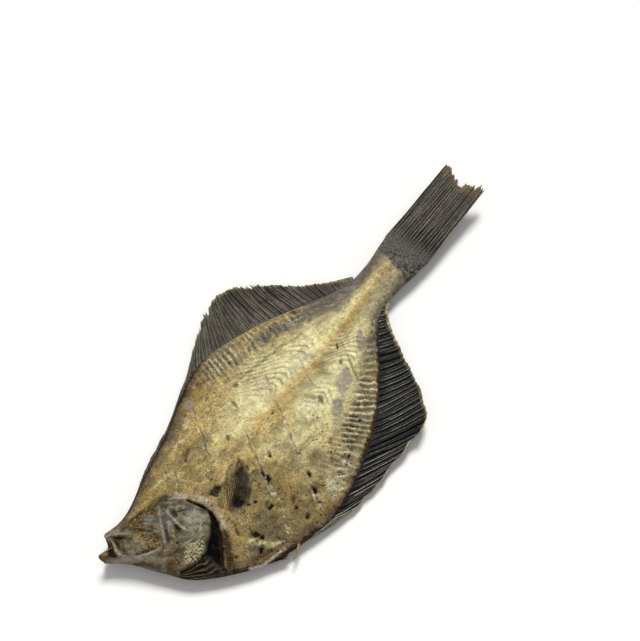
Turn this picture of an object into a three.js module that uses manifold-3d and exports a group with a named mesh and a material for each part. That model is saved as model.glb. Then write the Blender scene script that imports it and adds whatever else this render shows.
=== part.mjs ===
// A dried flounder, salted and air-dried whole, lying with its pale blind side up.
// Millimetres, +Z up, +X towards the tail, +Y towards the back (dorsal) edge.
// Shapes are worked out in the fish's own measure: x from the lower jaw's tip, y from the lateral line,
// z from the surface it lies on. The finished fish is then centred over the origin.

import * as THREE from "three";
import { mergeVertices } from "three/addons/utils/BufferGeometryUtils.js";
import Module from "manifold-3d";

const wasm = await Module();
wasm.setup();

// Driving dimensions.

// Cross-lines of the body from the mouth to the tail's root. Each has its two ends on the outline (x, y),
// the height of the rim, how far the blind side rises above it, and how far the eyed side drops below it.
const STATIONS = [
  { back: [9.2, 19.4], belly: [0, 12.6], rim: 7.4, rise: 2.0, drop: 2.2 },
  { back: [17.5, 17.8], belly: [6.8, 2.0], rim: 6.8, rise: 4.2, drop: 3.2 },
  { back: [26.0, 18.9], belly: [13.2, -12.4], rim: 6.2, rise: 5.4, drop: 3.2 },
  { back: [40.0, 23.6], belly: [20.8, -26.2], rim: 5.6, rise: 6.0, drop: 3.0 },
  { back: [60.0, 29.0], belly: [42.0, -43.4], rim: 5.2, rise: 6.4, drop: 3.3 },
  { back: [79.0, 36.0], belly: [62.6, -51.4], rim: 5.0, rise: 6.8, drop: 4.6 },
  { back: [100.0, 40.6], belly: [86.0, -54.4], rim: 5.0, rise: 7.0, drop: 5.4 },
  { back: [127.0, 33.6], belly: [122.0, -43.8], rim: 5.0, rise: 6.8, drop: 5.4 },
  { back: [150.0, 23.0], belly: [147.5, -28.4], rim: 5.2, rise: 6.0, drop: 5.2 },
  { back: [172.0, 12.4], belly: [170.5, -10.8], rim: 5.8, rise: 4.8, drop: 4.6 },
  { back: [188.0, 10.5], belly: [186.0, -9.5], rim: 6.4, rise: 3.8, drop: 3.8 },
  { back: [203.0, 12.2], belly: [200.0, -11.2], rim: 7.0, rise: 2.6, drop: 2.6 },
  { back: [211.0, 13.0], belly: [206.0, -11.6], rim: 7.4, rise: 1.3, drop: 1.2 },
];
const RIM = 1.8; // thickness of the body's edge
const ARCH_POWER = 2.4; // how full the blind side is between the lateral line and the edge
const KEEL_POWER = 2.8; // the same for the eyed side, which lies flat where it meets the table
const SPINE_WIDTH = 4.2; // backbone showing as a ridge along the lateral line
const SPINE_HEIGHT = { front: 0.5, tail: 1.7 };
const SPINE_RUN = { from: 60, to: 150 }; // x over which the ridge grows to its full height
const RIB_RELIEF = 0.55; // fin-bearing bones showing as ribs inside both edges
const RIB_BAND = { from: 0.6, to: 0.97 }; // their reach, as shares from the lateral line to the edge
const RIB_START = 44; // x where the ribs begin to show, behind the gill opening

// Fins along the two edges. Each ray starts on the edge at x; its length, its lean from +X and the lift of
// its tip are given along the fin.
const RAY_PITCH = 2.65; // spacing of the fin rays and of the ribs along the body
const EDGE_FINS = {
  back: [
    { x: 32, length: 3, lean: 34, lift: 0 },
    { x: 38, length: 7, lean: 32, lift: -0.8 },
    { x: 62, length: 10, lean: 31, lift: -1.8 },
    { x: 86, length: 15, lean: 36, lift: -2.2 },
    { x: 108, length: 22, lean: 55, lift: -0.5 },
    { x: 128, length: 24, lean: 80, lift: 2.0 },
    { x: 146, length: 21, lean: 92, lift: 3.0 },
    { x: 162, length: 10, lean: 92, lift: 1.0 },
    { x: 179, length: 2, lean: 60, lift: 0 },
  ],
  belly: [
    { x: 58, length: 3, lean: -24, lift: 0 },
    { x: 64, length: 10, lean: -23, lift: -1.4 },
    { x: 84, length: 18, lean: -23, lift: -2.0 },
    { x: 104, length: 26, lean: -28, lift: 0.5 },
    { x: 116, length: 29.5, lean: -31, lift: 2.5 },
    { x: 130, length: 24, lean: -29, lift: 1.5 },
    { x: 143, length: 17, lean: -31, lift: -0.5 },
    { x: 158, length: 9, lean: -40, lift: 1.5 },
    { x: 179, length: 2, lean: -40, lift: 0 },
  ],
};
const BARE_EDGE = 0.4; // the rim rounds off by this where it bears no fin
const RAY = { middle: 1.3, tip: 0.8 }; // thickness of a fin at its rays
const WEB = { middle: 0.8, tip: 0.6 }; // and at the skin between them
const PLEAT = 0.6; // longest rays stand proud of the skin between them by this
const SCALLOP = 0.93; // the skin between two rays ends short of their tips
const TAIL = {
  root: 202, // x where its rays leave the body
  rays: 17,
  halfWidth: { back: 12.6, belly: 11.2 },
  spread: 0.98, // width of the tip over width of the root
  tips: [260, 258.5, 255.5, 252.5, 255, 258, 259.6], // x of the ragged end, from back to belly
  lift: 4.5, // its tip curls up
  thick: { root: 3.2, tip: 1.0 },
  pleat: 1.1,
};
const ANAL_SPINE = { from: [63, -50], to: [52.4, -52.8], radius: { root: 1.1, tip: 0.4 } };

// Breast fins lie flat on each side behind the gill opening; belly fins are folded along the throat.
const BREAST_FIN = { root: [49.5, -18.5], rays: 9, from: 64, to: -6, length: 21, lie: 0.4, thick: 1.1 };
const BELLY_FIN = { root: [38, -40], rays: 5, from: -14, to: -36, length: 22, thick: 1.0, height: 4.8 };

// The head: mouth, gill cover, gill opening, and the two eyes of the under, eyed side.
const MOUTH = [
  [10.2, 14.4],
  [8.3, 18.4],
  [4.0, 20.0],
  [-2.0, 19.0],
  [-2.0, 15.6],
  [2.4, 15.3],
];
const GILL_COVER = {
  centre: [30, -3],
  rim: [
    [37, 10.5],
    [43.2, 3.5],
    [44.0, -6.5],
    [40.0, -15.2],
    [32.5, -19.6],
    [24.0, -18.8],
    [18.0, -11.0],
    [17.5, -1.0],
    [26.0, 8.0],
  ],
  proud: 1.5,
  sunk: 20, // x in front of which it lies under the skin
};
const GILL_OPENING = {
  path: [
    [44.5, 4.0],
    [46.2, -6.0],
    [42.6, -16.0],
    [36.0, -24.0],
    [29.0, -31.5],
  ],
  width: [1.6, 3.0, 4.4, 5.0, 4.0],
  depth: 2.6,
};
const EYES = [
  { at: [30.5, 11.5], radius: 4.4, drop: 1.9 },
  { at: [23.0, 3.0], radius: 4.2, drop: 1.6 },
];
const EYE_FLATNESS = 0.42;

// Knife scores cut across the blind side before salting: two ends of each.
const SCORES = [
  { from: [53, 16.5], to: [44, 5] },
  { from: [77.5, 25], to: [65.5, 6.5] },
  { from: [95, 17], to: [59.5, -44] },
  { from: [112.5, 13.5], to: [76.5, -51] },
  { from: [130, 8], to: [119.5, -11] },
  { from: [147, -5.5], to: [131.5, -34] },
];
const SCORE = { width: 1.1, depth: 0.9, steps: 4 };

// Outline and surface of the body.

const toVector = ([x, y]) => new THREE.Vector2(x, y);
const outline = {
  back: new THREE.SplineCurve(STATIONS.map((s) => toVector(s.back))),
  belly: new THREE.SplineCurve(STATIONS.map((s) => toVector(s.belly))),
  heights: new THREE.SplineCurve(STATIONS.map((s) => toVector([s.rise, s.drop]))),
  rim: new THREE.SplineCurve(STATIONS.map((s, i) => toVector([i, s.rim]))),
};

// Value u between 0 and 1 at which a rising function reaches the target.
function solve(rising, target) {
  let low = 0;
  let high = 1;
  for (let i = 0; i < 30; i++) {
    const middle = (low + high) / 2;
    if (rising(middle) < target) low = middle;
    else high = middle;
  }
  return (low + high) / 2;
}

const mix = THREE.MathUtils.lerp;
const smooth = (from, to, value) => THREE.MathUtils.smoothstep(value, from, to);
const middleX = (u) => (outline.back.getPoint(u).x + outline.belly.getPoint(u).x) / 2;
const edgeAt = (edge, x) => solve((u) => outline[edge].getPoint(u).x, x);

// The lateral line's share of the way from the back edge to the belly edge.
function lateralShare(u) {
  const back = outline.back.getPoint(u).y;
  const belly = outline.belly.getPoint(u).y;
  return THREE.MathUtils.clamp(back / (back - belly), 0.3, 0.6);
}

// Share of the way from the lateral line (0) to an edge (1), for a share across the body.
function edgeShare(u, across) {
  const line = lateralShare(u);
  return across < line ? (line - across) / line : (across - line) / (1 - line);
}

const pointAt = (u, across) => outline.back.getPoint(u).lerp(outline.belly.getPoint(u), across);

// Height of the blind side (up) and of the eyed side (down) at a place on the body. The rib is 1 on a rib,
// -1 between two ribs and 0 where no ribs show.
function blindHeight(u, across, rib = 0) {
  const share = edgeShare(u, across);
  const { x: rise } = outline.heights.getPoint(u);
  const x = middleX(u);
  const width = outline.back.getPoint(u).distanceTo(outline.belly.getPoint(u));
  const offset = ((across - lateralShare(u)) * width) / SPINE_WIDTH;
  const grown = smooth(SPINE_RUN.from, SPINE_RUN.to, x);
  const spine = mix(SPINE_HEIGHT.front, SPINE_HEIGHT.tail, grown) * Math.exp(-offset * offset);
  const { from, to } = RIB_BAND;
  const band = smooth(from, from + 0.15, share) * (1 - smooth(to - 0.1, to, share));
  const fade = smooth(25, 50, x) * (1 - smooth(180, 205, x));
  const relief = (rib * band * smooth(RIB_START, RIB_START + 12, x) * RIB_RELIEF) / 2;
  return (
    outline.rim.getPoint(u).y +
    RIM / 2 +
    rise * (1 - share ** ARCH_POWER) +
    spine * fade +
    relief
  );
}

function eyedHeight(u, across) {
  const { y: drop } = outline.heights.getPoint(u);
  return Math.max(0, outline.rim.getPoint(u).y - RIM / 2 - drop * (1 - edgeShare(u, across) ** KEEL_POWER));
}

// Where a point of the plan lies on the body: along it and across it.
function locate([x, y]) {
  const side = (u) => {
    const back = outline.back.getPoint(u);
    const belly = outline.belly.getPoint(u);
    return (back.x - belly.x) * (y - belly.y) - (back.y - belly.y) * (x - belly.x);
  };
  const u = solve(side, 0);
  const back = outline.back.getPoint(u);
  const belly = outline.belly.getPoint(u);
  return { u, across: THREE.MathUtils.clamp((back.y - y) / (back.y - belly.y), 0, 1) };
}

function surfaceAt(point, side) {
  const { u, across } = locate(point);
  return side > 0 ? blindHeight(u, across) : eyedHeight(u, across);
}

// Solids.

// A closed solid through rings of points, each ring with the same number of points, capped at both ends.
function loft(rings) {
  const count = rings[0].length;
  const points = rings.flat();
  const indices = [];
  for (let i = 0; i + 1 < rings.length; i++) {
    for (let j = 0; j < count; j++) {
      const next = (j + 1) % count;
      const [a, b] = [i * count + j, i * count + next];
      indices.push(a, a + count, b, b, a + count, b + count);
    }
  }
  [0, rings.length - 1].forEach((end) => {
    const centre = points.length;
    const ring = rings[end];
    points.push(ring.reduce((sum, p) => sum.map((v, k) => v + p[k] / count), [0, 0, 0]));
    for (let j = 0; j < count; j++) {
      const [a, b] = [end * count + j, end * count + ((j + 1) % count)];
      indices.push(centre, ...(end === 0 ? [a, b] : [b, a]));
    }
  });
  const geometry = new THREE.BufferGeometry();
  geometry.setAttribute("position", new THREE.Float32BufferAttribute(points.flat(), 3));
  geometry.setIndex(indices);
  return solidOf(geometry);
}

// A closed mesh as a solid that can be joined and cut. Its faces are turned outwards if they point in.
function solidOf(geometry) {
  geometry.deleteAttribute("normal");
  geometry.deleteAttribute("uv");
  const merged = mergeVertices(geometry, 1e-4);
  const triVerts = new Uint32Array(merged.index.array);
  const mesh = { numProp: 3, vertProperties: merged.attributes.position.array, triVerts };
  const solid = new wasm.Manifold(new wasm.Mesh(mesh));
  if (solid.volume() > 0) return solid;
  for (let i = 0; i < triVerts.length; i += 3) {
    [triVerts[i + 1], triVerts[i + 2]] = [triVerts[i + 2], triVerts[i + 1]];
  }
  return new wasm.Manifold(new wasm.Mesh(mesh));
}

const sum = (solids) => solids.reduce((all, one) => all.add(one));

// One fin ray, or the skin between two, at a station of the body: its points from the edge outwards.
function finRay(edge, u, onRay) {
  const base = outline[edge].getPoint(u);
  const rim = outline.rim.getPoint(u).y;
  const rays = EDGE_FINS[edge];
  const bare = base.x < rays[0].x || base.x > rays.at(-1).x;
  const x = THREE.MathUtils.clamp(base.x, rays[0].x, rays.at(-1).x);
  const read = (key) => {
    const table = new THREE.SplineCurve(rays.map((r) => toVector([r.x, r[key]])));
    return table.getPoint(solve((v) => table.getPoint(v).x, x)).y;
  };
  const lean = THREE.MathUtils.degToRad(read("lean"));
  const length = bare ? BARE_EDGE : read("length") * (onRay ? 1 : SCALLOP);
  const lift = bare ? 0 : read("lift");
  const pleat = ((onRay ? PLEAT : -PLEAT) / 2) * smooth(0, 20, length);
  const thick = onRay ? RAY : WEB;
  const row = (out, height, thickness) => ({
    x: base.x + out * length * Math.cos(lean),
    y: base.y + out * length * Math.sin(lean),
    z: rim + height,
    half: thickness / 2,
  });
  return [row(0.5, lift * 0.35 + pleat, thick.middle), row(1, lift + pleat, thick.tip)];
}

// The body with the fins of its two edges: stations on every ray and between two rays, with wider steps on
// the head and the tail's root.
const BLIND_ROWS = [1, 0.93, 0.78, 0.48, 0.15, 0];
const EYED_ROWS = [1, 0.78, 0.42, 0];

function body() {
  const headSteps = 11;
  const tailSteps = 8;
  const [first, last] = [EDGE_FINS.back[0].x, EDGE_FINS.back.at(-1).x].map((x) => middleX(edgeAt("back", x)));
  const raySteps = Math.round((last - first) / RAY_PITCH) * 2;
  const stations = [];
  for (let i = 0; i < headSteps; i++) {
    stations.push({ x: mix(middleX(0), first, i / headSteps), rib: 0 });
  }
  for (let i = 0; i <= raySteps; i++) {
    stations.push({ x: mix(first, last, i / raySteps), rib: i % 2 ? 1 : -1 });
  }
  for (let i = 1; i <= tailSteps; i++) {
    stations.push({ x: mix(last, middleX(1), i / tailSteps), rib: 0 });
  }
  const across = (u, rows) => {
    const line = lateralShare(u);
    const backHalf = rows.map((share) => line * (1 - share));
    const bellyHalf = rows.slice(0, -1).map((share) => line + (1 - line) * share);
    return [...backHalf, ...bellyHalf.reverse()];
  };
  const rings = stations.map(({ x, rib }) => {
    const u = solve(middleX, x);
    const place = (share, height) => [...pointAt(u, share).toArray(), height];
    const blind = across(u, BLIND_ROWS).map((share) => place(share, blindHeight(u, share, rib)));
    const eyed = across(u, EYED_ROWS).map((share) => place(share, eyedHeight(u, share)));
    const face = (edge, side) => finRay(edge, u, rib > 0).map((p) => [p.x, p.y, p.z + side * p.half]);
    const over = [...face("back", 1).reverse(), ...blind, ...face("belly", 1)];
    const under = [...face("belly", -1).reverse(), ...eyed.reverse(), ...face("back", -1)];
    return [...over, ...under];
  });
  return loft(rings);
}

// The tail fin: half shut, so its rays lie nearly side by side in deep pleats, with a ragged end.
function tailFin() {
  const { root, rays, halfWidth, spread, tips, lift, thick, pleat } = TAIL;
  const end = new THREE.SplineCurve(tips.map((x, i) => toVector([i, x])));
  const rim = outline.rim.getPoint(1).y;
  const columns = rays * 2;
  const steps = 4;
  const rings = [];
  for (let i = 0; i <= columns; i++) {
    const onRay = i % 2 === 0;
    const share = i / columns;
    const y = mix(halfWidth.back, -halfWidth.belly, share);
    const tip = end.getPoint(share).y - (onRay ? 0 : 2.5);
    const rows = [];
    for (let k = 0; k <= steps; k++) {
      const out = k / steps;
      const fold = (onRay ? pleat : -pleat) * 0.5 * smooth(0, 0.5, out);
      rows.push({
        at: [mix(root, tip, out), y * mix(1, spread, out)],
        z: rim + lift * out * out + fold,
        half: mix(thick.root, thick.tip, smooth(0, 0.45, out)) / 2,
      });
    }
    const face = (side) => rows.map((r) => [...r.at, r.z + side * r.half]);
    rings.push([...face(1), ...face(-1).reverse()]);
  }
  return loft(rings);
}

// A small fan of rays from one root, lying at the height that the given function states.
function fan({ root, rays, from, to, length, thick }, heightAt) {
  const columns = rays * 2;
  const steps = 2;
  const rings = [];
  for (let i = 0; i <= columns; i++) {
    const onRay = i % 2 === 0;
    const share = i / columns;
    const angle = THREE.MathUtils.degToRad(mix(from, to, share));
    const long = length * (0.72 + 0.28 * Math.sin(Math.PI * mix(0.2, 0.95, share))) * (onRay ? 1 : SCALLOP);
    const rows = [];
    for (let k = 0; k <= steps; k++) {
      const out = mix(0.12, 1, k / steps) * long;
      const at = [root[0] + out * Math.cos(angle), root[1] + out * Math.sin(angle)];
      rows.push([...at, heightAt(at) + (onRay ? 0.25 : 0)]);
    }
    const face = (side) => rows.map(([x, y, z]) => [x, y, z + (side * thick) / 2]);
    rings.push([...face(1), ...face(-1).reverse()]);
  }
  return loft(rings);
}

// The gill cover: a thin bony plate that stands proud behind and sinks into the cheek in front.
function gillCover(side) {
  const { centre, rim, proud, sunk } = GILL_COVER;
  const edge = new THREE.SplineCurve([...rim, rim[0]].map(toVector)).getPoints(24).slice(0, -1);
  const ringAt = (share, rise) =>
    edge.map((p) => {
      const at = [mix(centre[0], p.x, share), mix(centre[1], p.y, share)];
      const behind = smooth(sunk, centre[0], at[0]);
      return [...at, Math.max(0.4, surfaceAt(at, side) + side * mix(-1, rise, behind))];
    });
  const inner = [ringAt(0.2, -2), ringAt(1, -2)];
  const outer = [ringAt(1, proud * 0.55), ringAt(0.88, proud), ringAt(0.45, proud)];
  return loft([...inner, ...outer]);
}

// A groove along a path in the plan, cut into one side: width is a list along the path.
function groove(path, width, depth, side, steps) {
  const line = new THREE.SplineCurve(path.map(toVector));
  const widths = new THREE.SplineCurve(width.map((w, i) => toVector([i, w])));
  const rings = [];
  for (let i = 0; i <= steps; i++) {
    const u = i / steps;
    const at = line.getPoint(u);
    const tangent = line.getTangent(u);
    const half = new THREE.Vector2(-tangent.y, tangent.x).multiplyScalar(widths.getPoint(u).y / 2);
    const height = surfaceAt(at.toArray(), side);
    const lips = [at.clone().add(half), at.clone().sub(half)];
    rings.push([
      [...lips[0].toArray(), height + side * 3],
      [...lips[1].toArray(), height + side * 3],
      [...lips[1].toArray(), height],
      [...at.toArray(), height - side * depth],
      [...lips[0].toArray(), height],
    ]);
  }
  return loft(rings);
}

const gillOpening = (side) => groove(GILL_OPENING.path, GILL_OPENING.width, GILL_OPENING.depth, side, 10);
const score = ({ from, to }) => {
  const { width, depth, steps } = SCORE;
  return groove([from, to], [0.3, width, width, 0.3], depth, 1, steps);
};

function mouth() {
  const shape = new THREE.Shape(MOUTH.map(toVector));
  const height = 24;
  return solidOf(new THREE.ExtrudeGeometry(shape, { depth: height, bevelEnabled: false }));
}

// The short spine in front of the anal fin.
function analSpine() {
  const { from, to, radius } = ANAL_SPINE;
  const start = new THREE.Vector3(...from, outline.rim.getPoint(edgeAt("belly", from[0])).y);
  const end = new THREE.Vector3(...to, start.z - 1);
  const spine = new THREE.CylinderGeometry(radius.tip, radius.root, start.distanceTo(end), 8);
  const turn = new THREE.Quaternion().setFromUnitVectors(
    new THREE.Vector3(0, 1, 0),
    end.clone().sub(start).normalize(),
  );
  const middle = start.clone().lerp(end, 0.5);
  spine.applyQuaternion(turn).translate(middle.x, middle.y, middle.z);
  return solidOf(spine);
}

function eye({ at, radius, drop }) {
  const ball = new THREE.SphereGeometry(radius, 14, 6);
  ball.scale(1, 1, EYE_FLATNESS);
  ball.translate(...at, surfaceAt(at, -1) + radius * EYE_FLATNESS - drop);
  return solidOf(ball);
}

// The whole fish as one solid.
function flounder() {
  const { lie, thick } = BREAST_FIN;
  const breastFin = (side) => fan(BREAST_FIN, (at) => Math.max(thick / 2, surfaceAt(at, side) + side * lie));
  const bellyFin = fan(BELLY_FIN, () => BELLY_FIN.height);
  const cuts = [mouth(), gillOpening(1), gillOpening(-1), ...SCORES.map(score)];
  const flesh = sum([body(), gillCover(1), gillCover(-1)]).subtract(sum(cuts));
  const fins = [tailFin(), analSpine(), bellyFin, breastFin(1), breastFin(-1)];
  return sum([flesh, ...fins, ...EYES.map(eye)]);
}

const { vertProperties, triVerts } = flounder().getMesh();
const geometry = new THREE.BufferGeometry();
geometry.setAttribute("position", new THREE.BufferAttribute(new Float32Array(vertProperties), 3));
geometry.setIndex(new THREE.BufferAttribute(triVerts, 1));
geometry.computeVertexNormals();
geometry.computeBoundingBox();

const skin = new THREE.MeshStandardMaterial({ color: 0xa8905c, roughness: 0.72, metalness: 0 });
const fish = new THREE.Mesh(geometry, skin);
fish.name = "dried_flounder";
const centre = geometry.boundingBox.getCenter(new THREE.Vector3());
fish.position.set(-centre.x, -centre.y, -geometry.boundingBox.min.z);

const driedFlounder = new THREE.Group();
driedFlounder.add(fish);

export default driedFlounder;
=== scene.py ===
import math

import bpy
import mathutils
import numpy as np
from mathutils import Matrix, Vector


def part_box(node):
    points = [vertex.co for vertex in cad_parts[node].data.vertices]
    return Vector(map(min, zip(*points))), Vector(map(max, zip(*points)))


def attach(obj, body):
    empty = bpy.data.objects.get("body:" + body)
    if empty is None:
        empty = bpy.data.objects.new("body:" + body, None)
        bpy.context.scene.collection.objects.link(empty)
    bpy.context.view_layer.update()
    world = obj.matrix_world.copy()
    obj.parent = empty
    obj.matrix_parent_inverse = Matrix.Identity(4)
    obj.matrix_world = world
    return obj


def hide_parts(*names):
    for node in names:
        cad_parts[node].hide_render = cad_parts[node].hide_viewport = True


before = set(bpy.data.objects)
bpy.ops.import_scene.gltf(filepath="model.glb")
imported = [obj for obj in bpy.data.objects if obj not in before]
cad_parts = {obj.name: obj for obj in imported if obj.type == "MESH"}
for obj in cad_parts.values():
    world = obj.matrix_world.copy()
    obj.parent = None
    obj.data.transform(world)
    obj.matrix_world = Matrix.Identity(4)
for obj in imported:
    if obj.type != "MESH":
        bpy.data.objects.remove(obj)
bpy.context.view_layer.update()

# The fish's own measure. Sizes are in millimetres: x runs from the lower jaw's tip to the tail, y from the
# lateral line to the back edge and z up from the table. The solid's box says where that lies in the frame.
MM = 0.001
ANAL_FIN_REACH = 62.45
solid_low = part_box("dried_flounder")[0]
LOWER_JAW = np.array([solid_low.x, solid_low.y + ANAL_FIN_REACH * MM, solid_low.z])


def to_frame(points):
    return np.asarray(points, float) * MM + LOWER_JAW


# The body, with its head and the root of its tail: flesh and bone under their own skin, salted and dried
# until they are one stiff board. It is a loft between the back edge and the belly edge, and everything that
# shrinking has brought out on the blind side is relief in its mesh.

# Cross-lines from the mouth to the tail's root: back x, back y, belly x, belly y, height of the rim, rise
# of the blind side over it and drop of the eyed side under it.
STATIONS = np.array([
    (10.0, 19.2, 0.2, 10.8, 7.4, 2.0, 2.2),
    (17.5, 17.8, 6.8, 2.0, 6.8, 4.2, 3.2),
    (26.0, 18.9, 13.2, -12.4, 6.2, 5.4, 3.2),
    (40.0, 23.6, 20.8, -26.2, 5.6, 6.0, 3.0),
    (60.0, 29.0, 42.0, -43.4, 5.2, 6.4, 3.3),
    (79.0, 36.0, 62.6, -51.4, 5.0, 6.8, 4.6),
    (100.0, 40.6, 86.0, -54.4, 5.0, 7.0, 5.4),
    (127.0, 33.6, 122.0, -43.8, 5.0, 6.8, 5.4),
    (150.0, 23.0, 147.5, -28.4, 5.2, 6.0, 5.2),
    (172.0, 12.4, 170.5, -10.8, 5.8, 4.8, 4.6),
    (188.0, 10.5, 186.0, -9.5, 6.4, 3.8, 3.8),
    (203.0, 12.2, 200.0, -11.2, 7.0, 2.6, 2.6),
    (211.0, 13.0, 206.0, -11.6, 7.4, 1.3, 1.2),
])
RIM_HALF = 0.9
RIM_ROUND = 0.4
ARCH_POWER = 2.4
KEEL_POWER = 2.8
ALONG_STEPS = 440
BLIND_STEPS = 140
EYED_STEPS = 64


def spline(values, u):
    values = np.asarray(values, float)
    place = np.clip(u, 0, 1) * (len(values) - 1)
    first = np.minimum(np.floor(place).astype(int), len(values) - 2)
    w = place - first
    if values.ndim > 1:
        w = w[..., None]
    p0, p1, p2, p3 = (values[np.clip(first + k, 0, len(values) - 1)] for k in (-1, 0, 1, 2))
    v1 = (p2 - p0) / 2
    v2 = (p3 - p1) / 2
    return (2 * p1 - 2 * p2 + v1 + v2) * w**3 + (3 * p2 - 3 * p1 - 2 * v1 - v2) * w**2 + v1 * w + p1


def smooth(low, high, value):
    w = np.clip((np.asarray(value, float) - low) / (high - low), 0, 1)
    return w * w * (3 - 2 * w)


def cell_noise(x, y, size, seed):
    table = np.random.default_rng(seed).uniform(-1, 1, (64, 64))
    px, py = x / size, y / size
    i, j = np.floor(px).astype(int), np.floor(py).astype(int)
    fx, fy = smooth(0, 1, px - i), smooth(0, 1, py - j)
    near = table[i % 64, j % 64] * (1 - fx) + table[(i + 1) % 64, j % 64] * fx
    far = table[i % 64, (j + 1) % 64] * (1 - fx) + table[(i + 1) % 64, (j + 1) % 64] * fx
    return near * (1 - fy) + far * fy


def noise(x, y, size, seed):
    total = 0
    for octave in range(3):
        turn = 0.7 + 1.1 * octave
        rx = x * math.cos(turn) - y * math.sin(turn)
        ry = x * math.sin(turn) + y * math.cos(turn)
        total = total + cell_noise(rx, ry, size / 2**octave, seed + octave) * 0.6**octave
    return total / 1.3


# Where each point of the body lies: along it, across it, and how far out from the lateral line it is. The
# lips bend the front line in, between the upper jaw and the longer lower jaw.
LIPS = [(10.0, 19.2), (8.6, 18.3), (8.2, 16.2), (7.4, 13.4), (5.8, 12.3), (3.9, 12.9), (2.3, 14.0),
        (0.6, 14.1), (0.0, 12.8), (0.2, 10.8)]
LIP_DEPTH = 13
EYED_LIP_SHARE = 0.35
dense = np.linspace(0, 1, 4001)
middle_x = (spline(STATIONS[:, 0], dense) + spline(STATIONS[:, 2], dense)) / 2
even_x = np.linspace(middle_x[0], middle_x[-1], ALONG_STEPS + 1)
along = np.interp(even_x, middle_x, dense)
at_steps = [spline(column, along)[:, None] for column in STATIONS.T]
back_x, back_y, belly_x, belly_y, rim, rise, drop = at_steps
lateral = np.clip(back_y / (back_y - belly_y), 0.3, 0.6)
width = np.hypot(back_x - belly_x, back_y - belly_y)


def plan(steps, lip_share):
    across = np.linspace(0, 1, steps + 1)[None, :]
    x = back_x + (belly_x - back_x) * across
    y = back_y + (belly_y - back_y) * across
    pull = lip_share * (1 - np.clip((even_x[:, None] - even_x[0]) / LIP_DEPTH, 0, 1)) ** 2
    lips = spline(LIPS, across[0])
    x = x + pull * (lips[:, 0] - x[0])[None, :]
    y = y + pull * (lips[:, 1] - y[0])[None, :]
    share = np.where(across < lateral, (lateral - across) / lateral, (across - lateral) / (1 - lateral))
    inset = np.where(across < lateral, across, 1 - across) * width
    return x, y, across, share, inset


x, y, across, share, inset = plan(BLIND_STEPS, 1.0)
on_back = across < lateral
LATERAL_LINE = [(45, 4.5), (74, 1.2), (94, 0), (113, -2.4), (137, -1.2), (158, -0.1), (180, 1.8),
                (206, 1.0)]
line_y = np.interp(x, *zip(*LATERAL_LINE))
from_line = np.abs(y - line_y)
TAIL_TAPER = (196, 210)
thinning = 1 - smooth(*TAIL_TAPER, x)
height = rim + RIM_HALF * (0.2 + 0.8 * thinning) + rise * thinning * (1 - share**ARCH_POWER)
patchy = noise(x, y, 14, 201)
ragged = noise(x, y, 5, 211)
fine = noise(x, y, 1.8, 221)

# Bare flesh and fat: browned at the front and the belly, cream along the rear, amber over the backbone.
# A stain has a name, a colour, a strength, a share by which the skin's crinkles break it up, and a mask.
stains = []


def add_stain(name, colour, strength, torn_up, mask):
    stains.append((name, colour, strength, torn_up, mask))


def hump(distance, width):
    return np.exp(-((distance / width) ** 2))


def path_distance(path, x, y):
    best = np.full(np.shape(x), np.inf)
    share = np.zeros(np.shape(x))
    for k, ((ax, ay), (bx, by)) in enumerate(zip(path, path[1:])):
        dx, dy = bx - ax, by - ay
        w = np.clip(((x - ax) * dx + (y - ay) * dy) / (dx * dx + dy * dy), 0, 1)
        distance = np.hypot(x - ax - w * dx, y - ay - w * dy)
        share = np.where(distance < best, (k + w) / (len(path) - 1), share)
        best = np.minimum(distance, best)
    return best, share


def strokes(paths, px, py, half_wide):
    drawn = np.zeros_like(x)
    for path in paths:
        distance, run = path_distance(path, px, py)
        ends = np.sin(np.pi * np.clip(run, 0.03, 0.97)) ** 0.5
        drawn = np.maximum(drawn, hump(distance, half_wide) * ends)
    return drawn


def blot(x, y, at, half_long, half_wide, angle, ragged):
    turn = math.radians(angle)
    dx, dy = x - at[0], y - at[1]
    lengthwise = dx * math.cos(turn) + dy * math.sin(turn)
    crosswise = dy * math.cos(turn) - dx * math.sin(turn)
    return np.hypot(lengthwise / half_long, crosswise / half_wide) + 0.4 * ragged


def blots(places, start, end, rough):
    spread = np.zeros_like(x)
    for place in places:
        spread = np.maximum(spread, 1 - smooth(start, end, blot(x, y, *place, rough)))
    return spread


belly_brown = smooth(-10, -32, y + 6 * patchy) * (1 - smooth(62, 100, x + 9 * patchy))
nape_brown = 0.5 * (1 - smooth(46, 78, x + 6 * patchy))
back_brown = 0.6 * np.where(on_back, smooth(0.6, 1.0, share), 0) * (1 - smooth(84, 116, x))
brown = np.maximum(np.maximum(0.85 * belly_brown, nape_brown), back_brown) + 0.22 * ragged
add_stain("brown", "#625330", 0.8, 0.6, brown)
add_stain("mauve", "#7d7462", 0.2, 0.7, smooth(0.0, 0.6, noise(x, y, 16, 261)))
add_stain("rust", "#a9843f", 0.4, 0.8, smooth(0.05, 0.6, noise(x, y, 9, 271)) * (1 - smooth(96, 126, x)))
pale = smooth(70, 120, x + 10 * patchy) * (1 - smooth(0.46, 0.82, share + 0.14 * ragged))
pale = pale * (1 - 0.8 * smooth(176, 194, x)) + 0.45 * hump(np.hypot((x - 84) / 18, (y - 8) / 15), 1)
pale = pale * (1 - 0.3 * hump(from_line, 5) * smooth(100, 125, x))
pale = pale * (1 - np.where(on_back, 0.55 * smooth(0.24, 0.46, share + 0.12 * ragged), 0))
add_stain("cream", "#ece2a8", 0.94, 0.3, pale * (0.98 + 0.35 * ragged) * (1 - 0.16 * smooth(138, 158, x)))
AMBER = [(78, -3.4), (93.3, -3.5), (109.1, -2.9), (128.8, -4.3), (149.4, -3.6), (165.9, -1.5),
         (185.1, -0.3), (197, 0.4)]
FIBRE_SLANT = 0.9
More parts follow.
